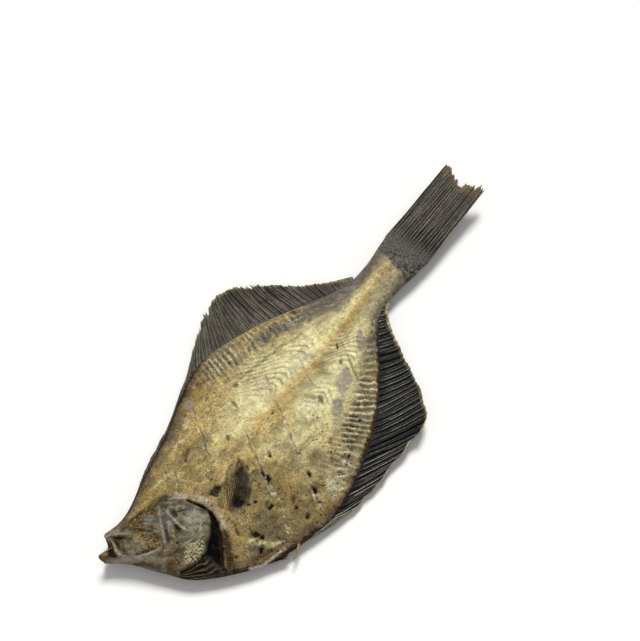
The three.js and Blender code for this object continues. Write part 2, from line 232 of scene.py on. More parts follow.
fibre = noise((x - FIBRE_SLANT * y) * 0.35, (y + FIBRE_SLANT * x) * 1.6, 2.4, 281)
amber_distance, amber_run = path_distance(AMBER, x, y)
amber_out = np.maximum(amber_distance - 0.8 + 1.3 * ragged + 0.9 * fibre, 0)
amber = hump(amber_out, 2.3) * smooth(0.0, 0.16, amber_run)
amber = amber * (0.9 + 0.6 * fibre) * (1 - 0.6 * smooth(0.75, 0.92, amber_run))
amber = amber * (1 - 0.3 * hump(x - 121, 10))
add_stain("amber", "#c5a35d", 0.85, 0.4, amber)
GOLDEN_TROUGH = [(93, -6.0), (113, -7.2), (128, -7.8), (141, -7.0), (152, -4.8), (162, -3.7), (176, -3.2),
                 (196, -3.2)]
trough_distance, trough_run = path_distance(GOLDEN_TROUGH, x, y + 0.8 * ragged + 0.6 * fibre)
golden_trough = hump(trough_distance, 2.2) * smooth(0.0, 0.1, trough_run)
add_stain("golden_trough", "#94804f", 0.6, 0.5, golden_trough)
SPINE_PALE = [(138, 0.2), (149.2, 0.3), (162.3, 1.3), (180.5, 2.2), (192, 2.6)]
spine_pale = hump(path_distance(SPINE_PALE, x, y + 0.5 * ragged)[0], 1.5)
add_stain("spine_pale", "#ead9a0", 0.5, 0.4, spine_pale)
FILMS = [((56.7, -34.5), 6.4, 4.2, 62), ((66.0, 27.0), 10, 3.2, 24), ((47.5, -35.5), 3.6, 1.6, -10),
         ((95, -33), 6.5, 3.6, 50), ((62.0, 23.6), 3.0, 1.5, 40), ((53.5, 22.4), 4.0, 1.6, 20),
         ((40.5, 19.0), 4.2, 1.6, 22), ((69.5, 26.2), 2.8, 1.7, 20), ((54.5, -22.0), 5.0, 3.4, 40)]
add_stain("film", "#635d45", 0.62, 0.5, blots(FILMS, 0.5, 1.2, ragged))
STREAKS = [[(56.8, 20.2), (62.3, 20.8), (68.2, 19.8)], [(37.7, 15.6), (43.1, 15.1), (48.4, 13.7)],
           [(46.6, -32.7), (48.9, -37.1), (51.1, -41.0)], [(52.8, -10.6), (61.6, -6.2), (68.5, -4.0)],
           [(84.8, -45.2), (89.6, -47.2), (93.2, -49.4)]]
streak = strokes(STREAKS, x, y + 0.4 * fine, 0.9)
add_stain("streak", "#c4ba90", 0.8, 0.4, streak)
FRONT_LINE = [(54.5, 3.0), (58.7, 1.9), (63.1, 0.9), (67.0, -0.2), (73.4, -2.1), (80.6, -4.6), (88.0, -4.6)]
PORE_PITCH = 1.5
front_distance, front_run = path_distance(FRONT_LINE, x, y)
front_ends = smooth(0, 0.12, front_run) * (1 - smooth(0.8, 1, front_run))
front_line = hump(front_distance - 0.5, 0.3) * front_ends
front_pore = hump(front_distance, 0.35) * front_ends * smooth(-0.3, 0.5, np.sin(2 * np.pi * x / PORE_PITCH))
add_stain("front_line", "#cdc195", 0.75, 0.5, front_line)
add_stain("front_pore", "#54422a", 0.8, 0.5, front_pore)
# Folds of the belly's lower edge: name, colour, half width, height and path.
# The light fold is a painted highlight on a cream fold, and the grey patch beside it is a painted shadow.
BELLY_FOLDS = [
    ("belly_highlight", "#cdc08e", 1.2, 0.5, [(46.3, -33.6), (48.9, -38.5), (51.9, -42.4), (56.4, -45.4)]),
    ("belly_grey", "#5b574c", 1.2, -0.4, [(43.2, -34.8), (45.0, -37.2), (46.7, -38.9)]),
    ("belly_line", "#6d4a20", 0.7, -1.0, [(42.6, -40.6), (46.4, -41.9), (50.9, -43.9), (55.8, -45.6)]),
    ("belly_flap", "#63503f", 1.1, 0.2, [(39.9, -39.6), (42.3, -41.6), (45.4, -43.4), (50.0, -44.9)]),
    ("belly_hem", "#d3c9ab", 0.42, 0.5,
     [(37.8, -40.5), (41.8, -43.4), (45.6, -44.7), (48.9, -45.6), (54.2, -46.9)]),
    ("belly_nick", "#4c3520", 0.6, -0.8, [(55.8, -41.1), (57.3, -44.5), (56.9, -46.1)]),
]
belly_relief = np.zeros_like(x)
belly_stains = []
for name, tone, half_wide, proud, path in BELLY_FOLDS:
    fold_mask = hump(path_distance(path, x + 0.3 * fine, y + 0.3 * ragged)[0], half_wide)
    belly_relief = belly_relief + proud * fold_mask
    belly_stains.append((name, tone, 0.85, 0.4, fold_mask))

# Drying draws the flesh down between the bones: the backbone, the folded muscle segments and the ribs that
# bear the fins, whose gaps show blue-grey where the skin is thin.
SPINE_WIDTH = 3.8
VERTEBRA_PITCH = 3.9
SEGMENT_PITCH = (3.6, 2.9)
RAY_PITCH = 2.65
RIB_DRAWS = 400
BACK_FOLD = ([0, 1.4, 2.5, 4.2, 6.2, 9, 12.3, 14.5, 18, 24],
             [-7.5, -5.1, -2.7, -0.9, 0, -1.7, -5, -8.7, -14, -22])
BELLY_FOLD = ([0, 4.7, 9.6, 14, 24, 40], [-5, 0, 9.6, 12.5, 7, -4])
spine = (0.4 + 1.5 * smooth(60, 150, x)) * hump(from_line, SPINE_WIDTH) * smooth(35, 60, x)
spine = spine * (1 - smooth(186, 205, x))
vertebrae = 0.16 * np.sin(2 * np.pi * x / VERTEBRA_PITCH) * hump(from_line, 3) * smooth(95, 130, x)
line_groove = -0.35 * hump(from_line, 0.7) * smooth(120, 150, x) * (1 - smooth(190, 200, x))
folded = np.where(on_back, np.interp(from_line, *BACK_FOLD), np.interp(from_line, *BELLY_FOLD))
segment_place = (x - folded + 0.7 * noise(x, y, 12, 31)) / np.where(on_back, *SEGMENT_PITCH)
segment_wave = 0.5 - 0.5 * np.cos(2 * np.pi * segment_place)
segment = smooth(0.72, 1.0, segment_wave)
segment_side = np.where(on_back, smooth(90, 104, x) * (1 - smooth(140, 152, x)), smooth(100, 114, x))
segment_side = segment_side * (1 - smooth(150, 162, x)) * smooth(1.6, 4.2, from_line)
segment_side = segment_side * (1 - smooth(0.5, 0.66, share)) * np.clip(0.6 + noise(x, y, 11, 41), 0.08, 1)
# The sunk segment lines are painted darker, as painted shade; the flesh between them is painted paler.
add_stain("segment_pale", "#e8e2b8", 0.5, 0.4, (1 - smooth(0.1, 0.6, segment_wave)) * segment_side)
add_stain("segment", "#8a8160", 0.78, 0.4, segment * segment_side)
slant = np.where(on_back, 0.3, 0.35 + 0.3 * smooth(85, 125, x))
rib_place = (x + inset * slant + 0.7 * noise(x, y, 10, 21) + 0.3 * fine) / RAY_PITCH
rib_number = np.floor(rib_place).astype(int) % RIB_DRAWS
rib_draw = np.random.default_rng(7).uniform(0, 1, (4, RIB_DRAWS))
start_draw, end_draw, strong_draw, wide_draw = rib_draw[:, rib_number]
rib_valley = 0.5 - 0.5 * np.cos(2 * np.pi * rib_place)
rib_start = 0.64 + 0.12 * start_draw - np.where(on_back, 0.1, 0)
rib_end = 0.90 + 0.06 * end_draw
rib_length = np.clip((share - rib_start) / (rib_end - rib_start), 0, 1)
lens = np.sin(np.pi * rib_length) ** 0.6
from_break = rib_length - 0.35 - 0.3 * end_draw
lens = lens * (1 - 0.85 * hump(from_break, 0.11) * (start_draw > 0.35))
lens = lens * np.where(on_back, 1, 1 - 0.6 * smooth(0.45, 0.75, rib_length))
rib_run = np.where(on_back, 0.75 * smooth(84, 104, x) * (1 - smooth(138, 160, x)),
                   (0.1 * smooth(70, 86, x) + 0.35 * smooth(90, 98, x) + 0.55 * smooth(102, 112, x))
                   * (1 - 0.25 * smooth(136, 146, x)))
rib_run = rib_run * (1 - smooth(158, 168, x))
rib_strong = rib_run * (0.3 + 0.85 * strong_draw) * np.clip(0.9 + 0.7 * noise(x, y, 15, 51), 0.2, 1.2)
rib_strong = rib_strong * np.where(on_back, 1, 1 - 0.5 * smooth(132, 144, x))
gap_width = np.where(on_back, 0.72, 0.42 + 0.3 * wide_draw)
rib_gap = smooth(gap_width, gap_width + 0.3, rib_valley) * lens * rib_strong
rib_band = smooth(0.6, 0.74, share) * (1 - smooth(0.95, 1.0, share)) * rib_run
# Rib crests are painted pale cream, partly as painted highlights; the sunk gaps are painted dark over their
# blue-grey, partly as painted shade.
rib_crest = (1 - smooth(0.05, 0.6, rib_valley)) * rib_band * np.where(on_back, 0.8, 1)
rib_crest = rib_crest * np.clip(0.8 + 0.8 * ragged, 0.2, 1.2)
ribs = 0.75 * rib_crest - 1.1 * rib_gap
add_stain("rib_ground", "#796e51", 0.7, 0.6, rib_band * np.where(on_back, 1, 1 - 0.45 * hump(x - 112, 11)))
add_stain("rib_crest", "#ddd3ae", 0.8, 0.5, rib_crest)
add_stain("rib_gap", "#4a4e57", 0.95, 0.3, 1.7 * rib_gap)
BELLY_CRESTS = [[(106.1, -37.2), (109.5, -40.6), (112.3, -45.1)],
                [(103.2, -38.6), (106.3, -42.4), (108.2, -47.2)],
                [(100.4, -40.5), (102.2, -44.4), (103.1, -48.7)],
                [(94.0, -41.6), (97.5, -43.5), (100.4, -46.6)],
                [(87.4, -43.7), (92.8, -44.8), (97.7, -48.3)],
                [(88.6, -48.2), (92.0, -50.2), (94.6, -51.8)]]
# Each belly crest is painted pale, a painted highlight, with painted shade in the trough on one side of it.
CREST_OFFSET = 1.5
belly_crest = np.zeros_like(x)
belly_trough = np.zeros_like(x)
for path in BELLY_CRESTS:
    distance, run = path_distance(path, x + 0.7 * ragged, y + 0.4 * fine)
    ends = np.sin(np.pi * np.clip(run, 0.03, 0.97)) ** 0.5
    belly_crest = np.maximum(belly_crest, hump(distance, 1.0) * ends)
    distance = path_distance(path, x + 0.7 * ragged - CREST_OFFSET, y + 0.4 * fine)[0]
    belly_trough = np.maximum(belly_trough, hump(distance, 0.6) * ends)
ribs = ribs + 0.9 * belly_crest - 0.6 * belly_trough
add_stain("belly_crest", "#d2c8a6", 0.85, 0.4, belly_crest)
add_stain("belly_trough", "#5f5443", 0.8, 0.4, belly_trough * (1 - belly_crest))
LINE_TROUGHS = [[(115.4, -4.8), (119.6, -8.3), (121.6, -12.4)],
                [(113.0, -8.8), (115.7, -12.4), (116.6, -15.9)],
                [(123.4, -6.3), (128.2, -9.9), (131.3, -14.3)],
                [(127.9, -4.8), (132.6, -7.5), (137.5, -11.1)],
                [(133.5, -4.2), (138.2, -6.3), (141.9, -9.7)],
                [(103.3, -10.8), (102.7, -15.5), (105.1, -19.8), (111.4, -23.1)]]
line_trough = strokes(LINE_TROUGHS, x + 0.8 * ragged, y + 0.5 * fine, 1.3)
ribs = ribs - 0.55 * line_trough
add_stain("line_trough", "#8d8765", 0.75, 0.5, line_trough)
BACK_CREASE = [(98, 20.8), (103.5, 18.9), (116, 16.6), (126.8, 14.8), (134.4, 12.2), (141, 10.4)]
crease_distance, crease_share = path_distance(BACK_CREASE, x, y + 0.5 * ragged)
crease = hump(crease_distance, 0.75) * np.sin(np.pi * np.clip(crease_share, 0.02, 0.98)) ** 0.5
crease = crease * np.clip(0.75 + 0.7 * fine, 0, 1)
add_stain("crease", "#564e42", 0.85, 0.5, crease)

# Patches of pale and golden fat, then blood and bile: purple-grey bruises, a grey band along the back, grey
# sides at the tail's root, and softer dark spots.
PALE_PATCHES = [((88.5, -46.6), 6.5, 3.0, 52), ((110.6, -14.6), 7.6, 3.0, -43),
                ((107.0, 9.0), 5.0, 3.0, 30), ((71.0, 24.5), 3.5, 1.6, 30), ((127.0, 2.0), 9.0, 4.0, 0)]
add_stain("pale_patch", "#d9d2b2", 0.55, 0.5, blots(PALE_PATCHES, 0.4, 1.2, ragged))
GOLDEN = [((77.0, -4.5), 15.0, 6.0, -6), ((99.0, -7.5), 12.0, 6.0, -4)]
add_stain("golden", "#c2a868", 0.7, 0.6, blots(GOLDEN, 0.4, 1.3, ragged))
BLOOD_SPOT = ((73.4, -36.4), 2.8, 1.5, 35)
add_stain("blood_spot", "#643a1a", 0.9, 0.4, blots([BLOOD_SPOT], 0.5, 1.2, ragged))
BRUISES = [((131.0, -19.8), 8.4, 4.2, 27), ((118.8, -25.6), 5.4, 3.1, 31),
           ((79.4, 30.2), 4.4, 1.8, 60), ((141.0, -10.5), 1.7, 1.4, 0), ((154.0, -12.0), 7.0, 2.0, 45)]
bruise = blots(BRUISES, 0.55, 1.15, ragged)
GREY_BAND = [(119, 26.5), (129, 24.5), (141.6, 19.5), (154.6, 15.5), (166, 9.5), (178, 7.6)]
band_distance, band_share = path_distance(GREY_BAND, x, y)
grey_band = 1 - smooth(2.5, 7.0, band_distance + 4.0 * ragged + 1.2 * fine)
grey_band = grey_band * smooth(0, 0.15, band_share) * np.where(on_back, smooth(0.35, 0.6, share), 0)
SIDE_AT = [144, 152, 160, 170, 182, 196]
BACK_SIDE = [6.0, 3.4, 2.4, 1.6, 3.0, 2.6]
BELLY_SIDE = [12.0, 12.0, 12.0, 11.0, 9.4, 7.4]
side_start = np.where(on_back, np.interp(x, SIDE_AT, BACK_SIDE), np.interp(x, SIDE_AT, BELLY_SIDE))
side_width = np.where(on_back, 5.0, 3.0)
side_depth = (from_line - side_start + 1.5 * ragged + 2.2 * fine) / side_width
peduncle_side = smooth(142, 164, x) * smooth(-0.3, 1.0, side_depth)
belly_grey = np.where(on_back, 0, smooth(158, 170, x) * smooth(2.6, 5.4, from_line + 1.2 * fine))
add_stain("side_grey", "#a69f83", 0.75, 0.6, belly_grey)
add_stain("root_tan", "#a39473", 0.6, 0.6, smooth(176, 192, x))
add_stain("peduncle_side", "#5b5651", 0.9, 0.6, peduncle_side)
add_stain("bruise", "#847a78", 0.8, 0.5, bruise * (0.9 + 0.5 * fibre))
add_stain("grey_band", "#5f5952", 0.88, 0.6, grey_band)
add_stain("grey_fibre", "#c4bb9c", 0.6, 0.6,
          grey_band * smooth(0.1, 0.6, fibre) * (1 - 0.7 * smooth(156, 168, x)))
SOFT_SPOTS = [((99.0, 18.8), 1.5, 1.2, 40), ((91.6, 13.2), 1.8, 0.9, 70), ((86.4, 25.2), 1.0, 0.9, 0),
              ((59.7, 14.5), 1.6, 0.9, 20), ((76.8, 4.3), 1.2, 0.8, 40), ((117.6, -17.1), 1.8, 1.2, 50),
              ((138.5, -12.6), 1.3, 0.9, 40), ((91.5, -25.0), 1.3, 0.8, 0),
              ((64.5, -28.6), 1.4, 1.0, 30)]
add_stain("soft_spot", "#3c3327", 0.85, 0.5, blots(SOFT_SPOTS, 0.4, 1.7, fine))

# The breast fin of the blind side has dried onto the skin: its rays stand on a low leaf, which is soaked
# black behind the middle.
BREAST_ROOTS = [(49.2, -13.0), (49.9, -15.7), (51.3, -18.8), (53.5, -20.5), (55.4, -21.1)]
BREAST_TIPS = [(66.5, -4.3), (70.2, -3.8), (73.2, -4.8), (72.6, -8.9), (68.8, -13.0)]
BREAST_STAIN = [(71.4, -8.7), (63.9, -7.7), (57.2, -11.2), (52.8, -15.2), (52.6, -20.0), (56.8, -21.5),
                (64.1, -19.8), (67.7, -16.1), (69.8, -12.2)]
BREAST_CORE = [(55.8, -19.3), (61.0, -18.2), (65.6, -14.8), (68.2, -11.4)]
BREAST_POCKET = [(55.8, -4.8), (57.0, -7.2), (54.3, -9.9), (51.8, -10.8), (50.9, -6.6), (53.3, -5.4)]
BREAST_ROOT_TONE = [(55.6, -14.6), (53.4, -17.8), (51.8, -19.6)]
breast_leaf = BREAST_ROOTS + [(62.0, -20.7), (66.4, -16.6)] + BREAST_TIPS[::-1] + [(57.3, -7.6)]
BREAST_LEAN = math.radians(30)


def inside(polygon, x, y):
    hit = np.zeros(np.shape(x), bool)
    for (ax, ay), (bx, by) in zip(polygon, polygon[1:] + polygon[:1]):
        crosses = (ay > y) != (by > y)
        hit ^= crosses & (x < (bx - ax) * (y - ay) / (by - ay + 1e-12) + ax)
    return hit


def depth_inside(polygon, x, y):
    distance = path_distance(polygon + polygon[:1], x, y)[0]
    return np.where(inside(polygon, x, y), distance, -distance)


def breast_streak(px, py):
    lengthwise = px * math.cos(BREAST_LEAN) + py * math.sin(BREAST_LEAN)
    crosswise = py * math.cos(BREAST_LEAN) - px * math.sin(BREAST_LEAN)
    return noise(lengthwise * 0.22, crosswise * 1.5, 1.5, 851)


def breast_soaked(px, py):
    return smooth(-1.8, 1.6, depth_inside(BREAST_STAIN, px, py) + 1.3 * breast_streak(px, py))


def breast_black(px, py):
    distance = path_distance(BREAST_CORE, px, py)[0]
    return breast_soaked(px, py) * (1 - smooth(2.0, 4.8, distance + 1.2 * breast_streak(px, py)))


leaf = smooth(-0.5, 1.0, depth_inside(breast_leaf, x, y) + 0.4 * ragged)
add_stain("leaf", "#7a6538", 0.55, 0.4, leaf)
leaf_streak = breast_streak(x, y)
add_stain("leaf_dark", "#3a2c17", 0.85, 0.3, leaf * smooth(0.05, 0.5, leaf_streak))
add_stain("leaf_pale", "#b39d66", 0.45, 0.3, leaf * smooth(0.05, 0.5, -leaf_streak))
add_stain("breast_root", "#6b5144", 0.75, 0.5, hump(path_distance(BREAST_ROOT_TONE, x, y)[0], 1.2))
add_stain("breast_dark", "#3f331b", 0.9, 0.3, breast_soaked(x, y))
add_stain("breast_core", "#11100c", 0.96, 0.3, breast_black(x, y))
breast_pocket = smooth(-0.4, 0.6, depth_inside(BREAST_POCKET, x, y) + 0.9 * fine + 0.5 * ragged)
add_stain("breast_pocket", "#1b1714", 0.95, 0.8, breast_pocket)

# The head: a thin gill cover over the open gill chamber, streaked throat skin, cheek bones and lips. Its
# skin is so thin that each bone shows in a tone of its own, so it is painted patch by patch, line by line.
# A patch has a colour, a strength, a place, half its length and width, and a turn.
COVER_EDGE = [(42.7, -0.6), (44.3, -7.3), (44.7, -11.0), (43.2, -13.4), (40.2, -15.8), (38.0, -17.8),
              (34.3, -19.4), (31.4, -20.6), (27.7, -20.8), (23.2, -19.8), (18.0, -17.4)]
COLLAR_EDGE = [(43.4, 0.4), (45.9, -7.1), (46.0, -13.1), (44.4, -17.7), (41.4, -21.9), (38.1, -25.4),
               (35.0, -28.4), (31.9, -31.2), (30.0, -36.0)]
COLLAR_CREST = [(42.1, 4.8), (44.3, 0.5), (46.6, -3.4), (47.8, -7.5), (48.0, -11.9), (46.9, -16.6),
                (44.6, -20.6), (42.6, -23.4)]
COLLAR_SHADOW = [(42.0, -22.6), (39.6, -25.6), (36.4, -29.2), (33.0, -34.5)]
NAPE = [(15.5, 15.4), (17.5, 14.5), (21.9, 13.9), (25.6, 13.2), (29.0, 12.2), (32.7, 10.8), (37.0, 9.5),
        (42.1, 4.8)]
GILL_GAP = COVER_EDGE + [(13, -20), (16, -42), (30, -42)] + COLLAR_EDGE[::-1]
HEAD = [(9.0, 21.5)] + NAPE + COLLAR_EDGE + [(30, -42), (-10, -42), (-10, 21.5)]
MOUTH = [(8.3, 15.2), (6.9, 13.2), (4.9, 12.6), (3.4, 10.6), (4.5, 8.6), (5.6, 8.0), (7.1, 11.0),
         (8.8, 13.8)]
GILL_DEPTH = 3.2
THROAT_DEPTH = 1.2
THROAT_STREAKS = 4.6
MOUTH_DEPTH = 1.6
HEAD_GROUND = "#67614e"
HEAD_PATCHES = [
    ("#8b856f", 0.7, (13.5, 16.6), 6.0, 2.0, 8), ("#4f5455", 0.9, (12.7, 9.0), 3.6, 2.0, -50),
    ("#827738", 0.85, (18.4, 5.2), 5.0, 3.2, -50), ("#6d7674", 0.85, (25.8, 7.2), 4.6, 2.6, 35),
    ("#857a42", 0.75, (18.0, -0.8), 3.8, 2.2, -50), ("#716f78", 0.9, (28.4, -2.6), 7.0, 3.2, 38),
    ("#393735", 0.9, (30.8, -6.8), 2.6, 1.3, 55), ("#3f474a", 0.9, (35.4, 3.8), 2.4, 1.5, 45),
    ("#68612f", 0.85, (39.4, 1.4), 3.6, 1.8, -55), ("#8b8a80", 0.85, (38.6, -9.0), 5.6, 4.2, -62),
    ("#5c5b49", 0.8, (36.4, -15.2), 3.4, 1.8, -30), ("#8c7e6c", 0.8, (20.8, -8.6), 3.4, 2.4, -50),
    ("#9d9282", 0.85, (12.6, -4.2), 6.6, 2.4, -56), ("#a1967f", 0.8, (16.6, -9.0), 3.6, 2.0, -56),
    ("#8a6c33", 0.9, (18.8, -13.4), 2.4, 1.6, -50), ("#a18447", 0.9, (1.8, 12.8), 2.4, 1.3, 0),
    ("#857043", 0.85, (14.6, -15.0), 3.4, 1.2, -62),
    ("#6d5524", 0.9, (10.6, -3.6), 7.0, 1.1, -56), ("#5d4a22", 0.9, (5.0, 4.4), 5.0, 1.0, -54),
    ("#463e27", 0.75, (10.3, 4.4), 3.2, 1.7, -52), ("#43372a", 0.6, (2.9, 8.8), 2.6, 1.0, -52),
    ("#4f3f1b", 0.75, (20.3, 1.2), 2.6, 1.5, -60), ("#444131", 0.6, (42.2, -2.9), 2.2, 1.4, -70),
    ("#9d9586", 0.6, (29.4, -3.4), 2.4, 1.1, 40),
]
# Bones stand proud and creases are sunk: colour, strength, height, half width and path.
# The sunk creases are painted dark, as painted shade, and some proud lines pale, partly as painted
# highlights.
HEAD_LINES = [
    ("#a79f8e", 0.75, 0.7, 0.45, [(33.2, 7.4), (30.3, 4.2), (26.5, -0.2), (23.7, -4.0), (21.5, -6.9)]),
    ("#2b2723", 0.85, -0.9, 0.55, [(33.0, 5.0), (29.6, 1.0), (26.2, -3.0), (23.2, -6.9)]),
    ("#8c8784", 0.7, 0.5, 0.6, [(32.6, 2.4), (31.4, -1.2), (29.6, -4.8)]),
    ("#191613", 0.95, -0.9, 0.55, [(32.2, 1.0), (31.2, -2.6), (30.7, -5.6), (30.9, -8.6)]),
    ("#cdc6b6", 0.85, 0.7, 0.34, [(33.6, 3.6), (33.0, 0.2), (32.6, -3.2), (32.4, -6.4), (32.2, -9.4)]),
    ("#1d1a16", 0.9, -0.6, 0.6, [(35.2, 1.2), (35.0, -1.0), (34.4, -3.0)]),
    ("#1d1a14", 0.9, -0.9, 0.8,
     [(16.6, 14.0), (21.1, 13.8), (25.7, 13.1), (29.6, 11.5), (33.5, 10.7), (37.1, 10.1)]),
    ("#181614", 0.9, -0.6, 1.2, [(34.4, 10.2), (37.8, 9.1), (39.6, 7.4)]),
    ("#26231e", 0.9, -0.9, 0.6, [(34.7, 2.0), (36.5, -0.7), (39.4, -3.0), (41.5, -4.9)]),
    ("#b1a99b", 0.85, 0.7, 0.55, [(38.5, 6.5), (41.0, 3.5), (43.4, 0.5)]),
    ("#8f8a70", 0.7, 0.4, 0.5, [(35.5, 7.5), (37.6, 4.6), (40.4, 2.6)]),
    ("#bfb595", 0.9, 0.5, 0.45, [(26.1, -11.8), (28.5, -12.9), (31.7, -14.0)]),
    ("#54452a", 0.85, -0.6, 0.5, [(26.4, -11.0), (23.6, -11.8), (21.0, -11.4), (19.3, -9.8)]),
    ("#2f2b26", 0.9, -0.8, 0.5, [(10.0, 1.7), (14.9, -1.6), (18.0, -3.7)]),
    ("#b4ab99", 0.85, 0.7, 0.6, [(9.6, 0.2), (14.6, -2.8), (19.0, -5.2)]),
    ("#a99e8a", 0.85, 0.5, 1.0, [(0.8, 10.4), (3.6, 7.4), (7.2, 3.4), (10.2, 0.2)]),
    ("#35281a", 0.85, -0.3, 0.45, [(5.0, 3.4), (8.6, -0.8), (11.0, -4.6), (13.4, -10.6)]),
    ("#b0a286", 0.9, 0.9, 0.55, [(9.7, 15.0), (8.0, 11.3), (6.5, 8.9), (6.2, 6.7)]),
    ("#15100c", 0.95, -1.1, 0.5, [(9.9, 16.2), (9.9, 13.0), (8.7, 9.2), (8.7, 4.2)]),
    ("#1d1a16", 0.95, -1.1, 0.55, [(10.2, 16.0), (11.4, 12.9), (13.4, 10.8), (14.4, 7.6)]),
    ("#a39a83", 0.8, 0.7, 0.6, [(11.6, 15.4), (13.8, 12.6), (16.0, 9.6)]),
    ("#2a1c10", 0.9, -0.6, 0.4, [(0.2, 10.9), (2.6, 11.0), (3.6, 10.0), (5.4, 7.6)]),
    ("#8c8b77", 0.8, 0.3, 0.35, [(22.8, 8.6), (24.8, 5.2)]),
    ("#8c8b77", 0.8, 0.3, 0.35, [(24.6, 9.2), (26.6, 5.6)]),
    ("#8c8b77", 0.8, 0.3, 0.35, [(26.6, 9.6), (28.4, 6.2)]),
    ("#2d281e", 0.8, -0.5, 0.45, [(18.8, 9.6), (21.2, 5.6), (22.6, 1.6), (22.4, -2.2)]),
    ("#bcb49e", 0.8, 0.4, 0.4, [(39.6, -11.0), (37.4, -13.4), (34.8, -14.4)]),
]
GOLD_FLECKS = [(30.7, 0.3), (29.7, -3.0), (28.3, -5.2), (25.4, -7.2)]
GOLD = "#bfab62"


def linear(colour):
    parts = [int(colour[i:i + 2], 16) / 255 for i in (1, 3, 5)]
    return (*[p / 12.92 if p <= 0.04045 else ((p + 0.055) / 1.055) ** 2.4 for p in parts], 1)


def lay(ground, colour, cover):
    return ground + (np.array(linear(colour)[:3]) - ground) * np.clip(cover, 0, 1)[..., None]


head = smooth(-0.7, 0.7, depth_inside(HEAD, x, y) + 0.5 * ragged)
gap_open = smooth(0.0, 0.9, depth_inside(GILL_GAP, x, y) + 0.25 * fine)
from_cover = path_distance(COVER_EDGE, x, y)[0]
deep = np.maximum(smooth(27, 33, x), 0.9 * hump(from_cover, 1.2))
throat = gap_open * (1 - deep)
throat_share = from_cover / (from_cover + inset + 0.5)
throat_wave = np.sin(2 * np.pi * (THROAT_STREAKS * throat_share + 0.3 * noise(x, y, 4, 71)))
mouth = smooth(-0.3, 0.5, depth_inside(MOUTH, x, y) + 0.2 * fine)
collar_distance = path_distance(COLLAR_CREST, x, y)[0]
collar = hump(collar_distance + 0.5 * ragged, 1.4) * (1 - gap_open) * np.clip(0.85 + 0.9 * ragged, 0.3, 1.3)
cover = hump(np.hypot(x - 35.0, (y + 8.5) / 1.2), 9.0) * (1 - gap_open)
cover_lip = 0.35 * hump(from_cover - 0.6, 0.7) * (1 - gap_open) * head
folds = np.abs(noise(x, y, 7.5, 81))
small_folds = np.abs(noise(x, y, 3.0, 91))
crumple = 0.55 * (0.35 - folds) + 0.5 * (0.35 - small_folds)
head_relief = cover + cover_lip + 0.9 * collar + crumple * head * (1 - gap_open) - MOUTH_DEPTH * mouth
head_relief = head_relief - gap_open * (THROAT_DEPTH + (GILL_DEPTH - THROAT_DEPTH) * deep)
head_relief = head_relief + 0.45 * throat_wave * throat
head_paint = np.zeros((*x.shape, 3)) + linear(HEAD_GROUND)[:3]
for colour, strength, *spot in HEAD_PATCHES:
    head_paint = lay(head_paint, colour, strength * (1 - smooth(0.35, 1.2, blot(x, y, *spot, ragged))))
# The crumpled folds are painted pale on their crests and dark in their hollows: painted highlights and
# shade.
fold_highlight = 0.5 * (1 - smooth(0, 0.12, folds)) + 0.4 * (1 - smooth(0, 0.12, small_folds))
head_paint = lay(head_paint, "#aba38d", fold_highlight)
head_paint = lay(head_paint, "#2f2a1e", 0.75 * smooth(0.3, 0.75, folds + 0.35 * small_folds))
olive_glaze = 0.36 * (1 - smooth(22, 34, x)) * np.clip(0.8 + 0.9 * ragged, 0.2, 1.4)
head_paint = lay(head_paint, "#5b4719", olive_glaze)
painted = head
for colour, strength, proud, half_wide, path in HEAD_LINES:
    distance, run = path_distance(path, x + 0.25 * fine, y + 0.2 * ragged)
    line = hump(distance, half_wide) * (0.4 + 0.6 * np.sin(np.pi * run))
    head_relief = head_relief + proud * line
    head_paint = lay(head_paint, colour, strength * line * (1 + 0.4 * ragged))
    painted = np.maximum(painted, strength * line)
fleck = hump(path_distance(GOLD_FLECKS, x, y)[0], 0.5) * smooth(0.0, 0.3, noise(x, y, 1.6, 95))
head_paint = lay(head_paint, GOLD, fleck)
# The head is toned down, and its front, which slopes away from the lamp, is painted a little lighter:
# painted light.
head_paint = head_paint * (0.88 + 0.06 * (1 - smooth(6, 24, x)) * smooth(20, 8, y + 0.6 * x))[..., None]
add_stain("head", "head_paint", 0.97, 0.25, painted)
# The sunk mouth opening is painted near black: painted shade.
add_stain("mouth", "#20150e", 0.95, 0.3, mouth)
add_stain("collar", "#b5a89a", 0.85, 0.5, collar * (1 - smooth(-20, -27, y)))
# The lower collar is painted dark brown: a painted shadow on the collar skin beside the gill opening.
collar_shadow = 1 - smooth(0.6, 3.0, path_distance(COLLAR_SHADOW, x, y)[0] + 0.9 * ragged)
add_stain("collar_shadow", "#2b1d11", 0.9, 0.5, collar_shadow)
add_stain("throat", "#14100c", 0.97, 0.3, throat)
# The crests of the throat folds are painted paler: painted highlights.
add_stain("throat_fold_highlight", "#6d614c", 0.75, 0.6, throat * smooth(0.5, 1.0, throat_wave))
# The gill chamber and the strip under the cover's edge are painted near black: painted shade in the
# opening.
add_stain("gill", "#080707", 1.0, 0.1, np.clip(1.3 * gap_open * deep, 0, 1))
gill_wall = 1 - smooth(0.6, 2.6, path_distance(COLLAR_EDGE, x, y)[0] + 0.6 * ragged)
add_stain("gill_wall", "#3a2a1c", 0.9, 0.5, gap_open * deep * gill_wall)

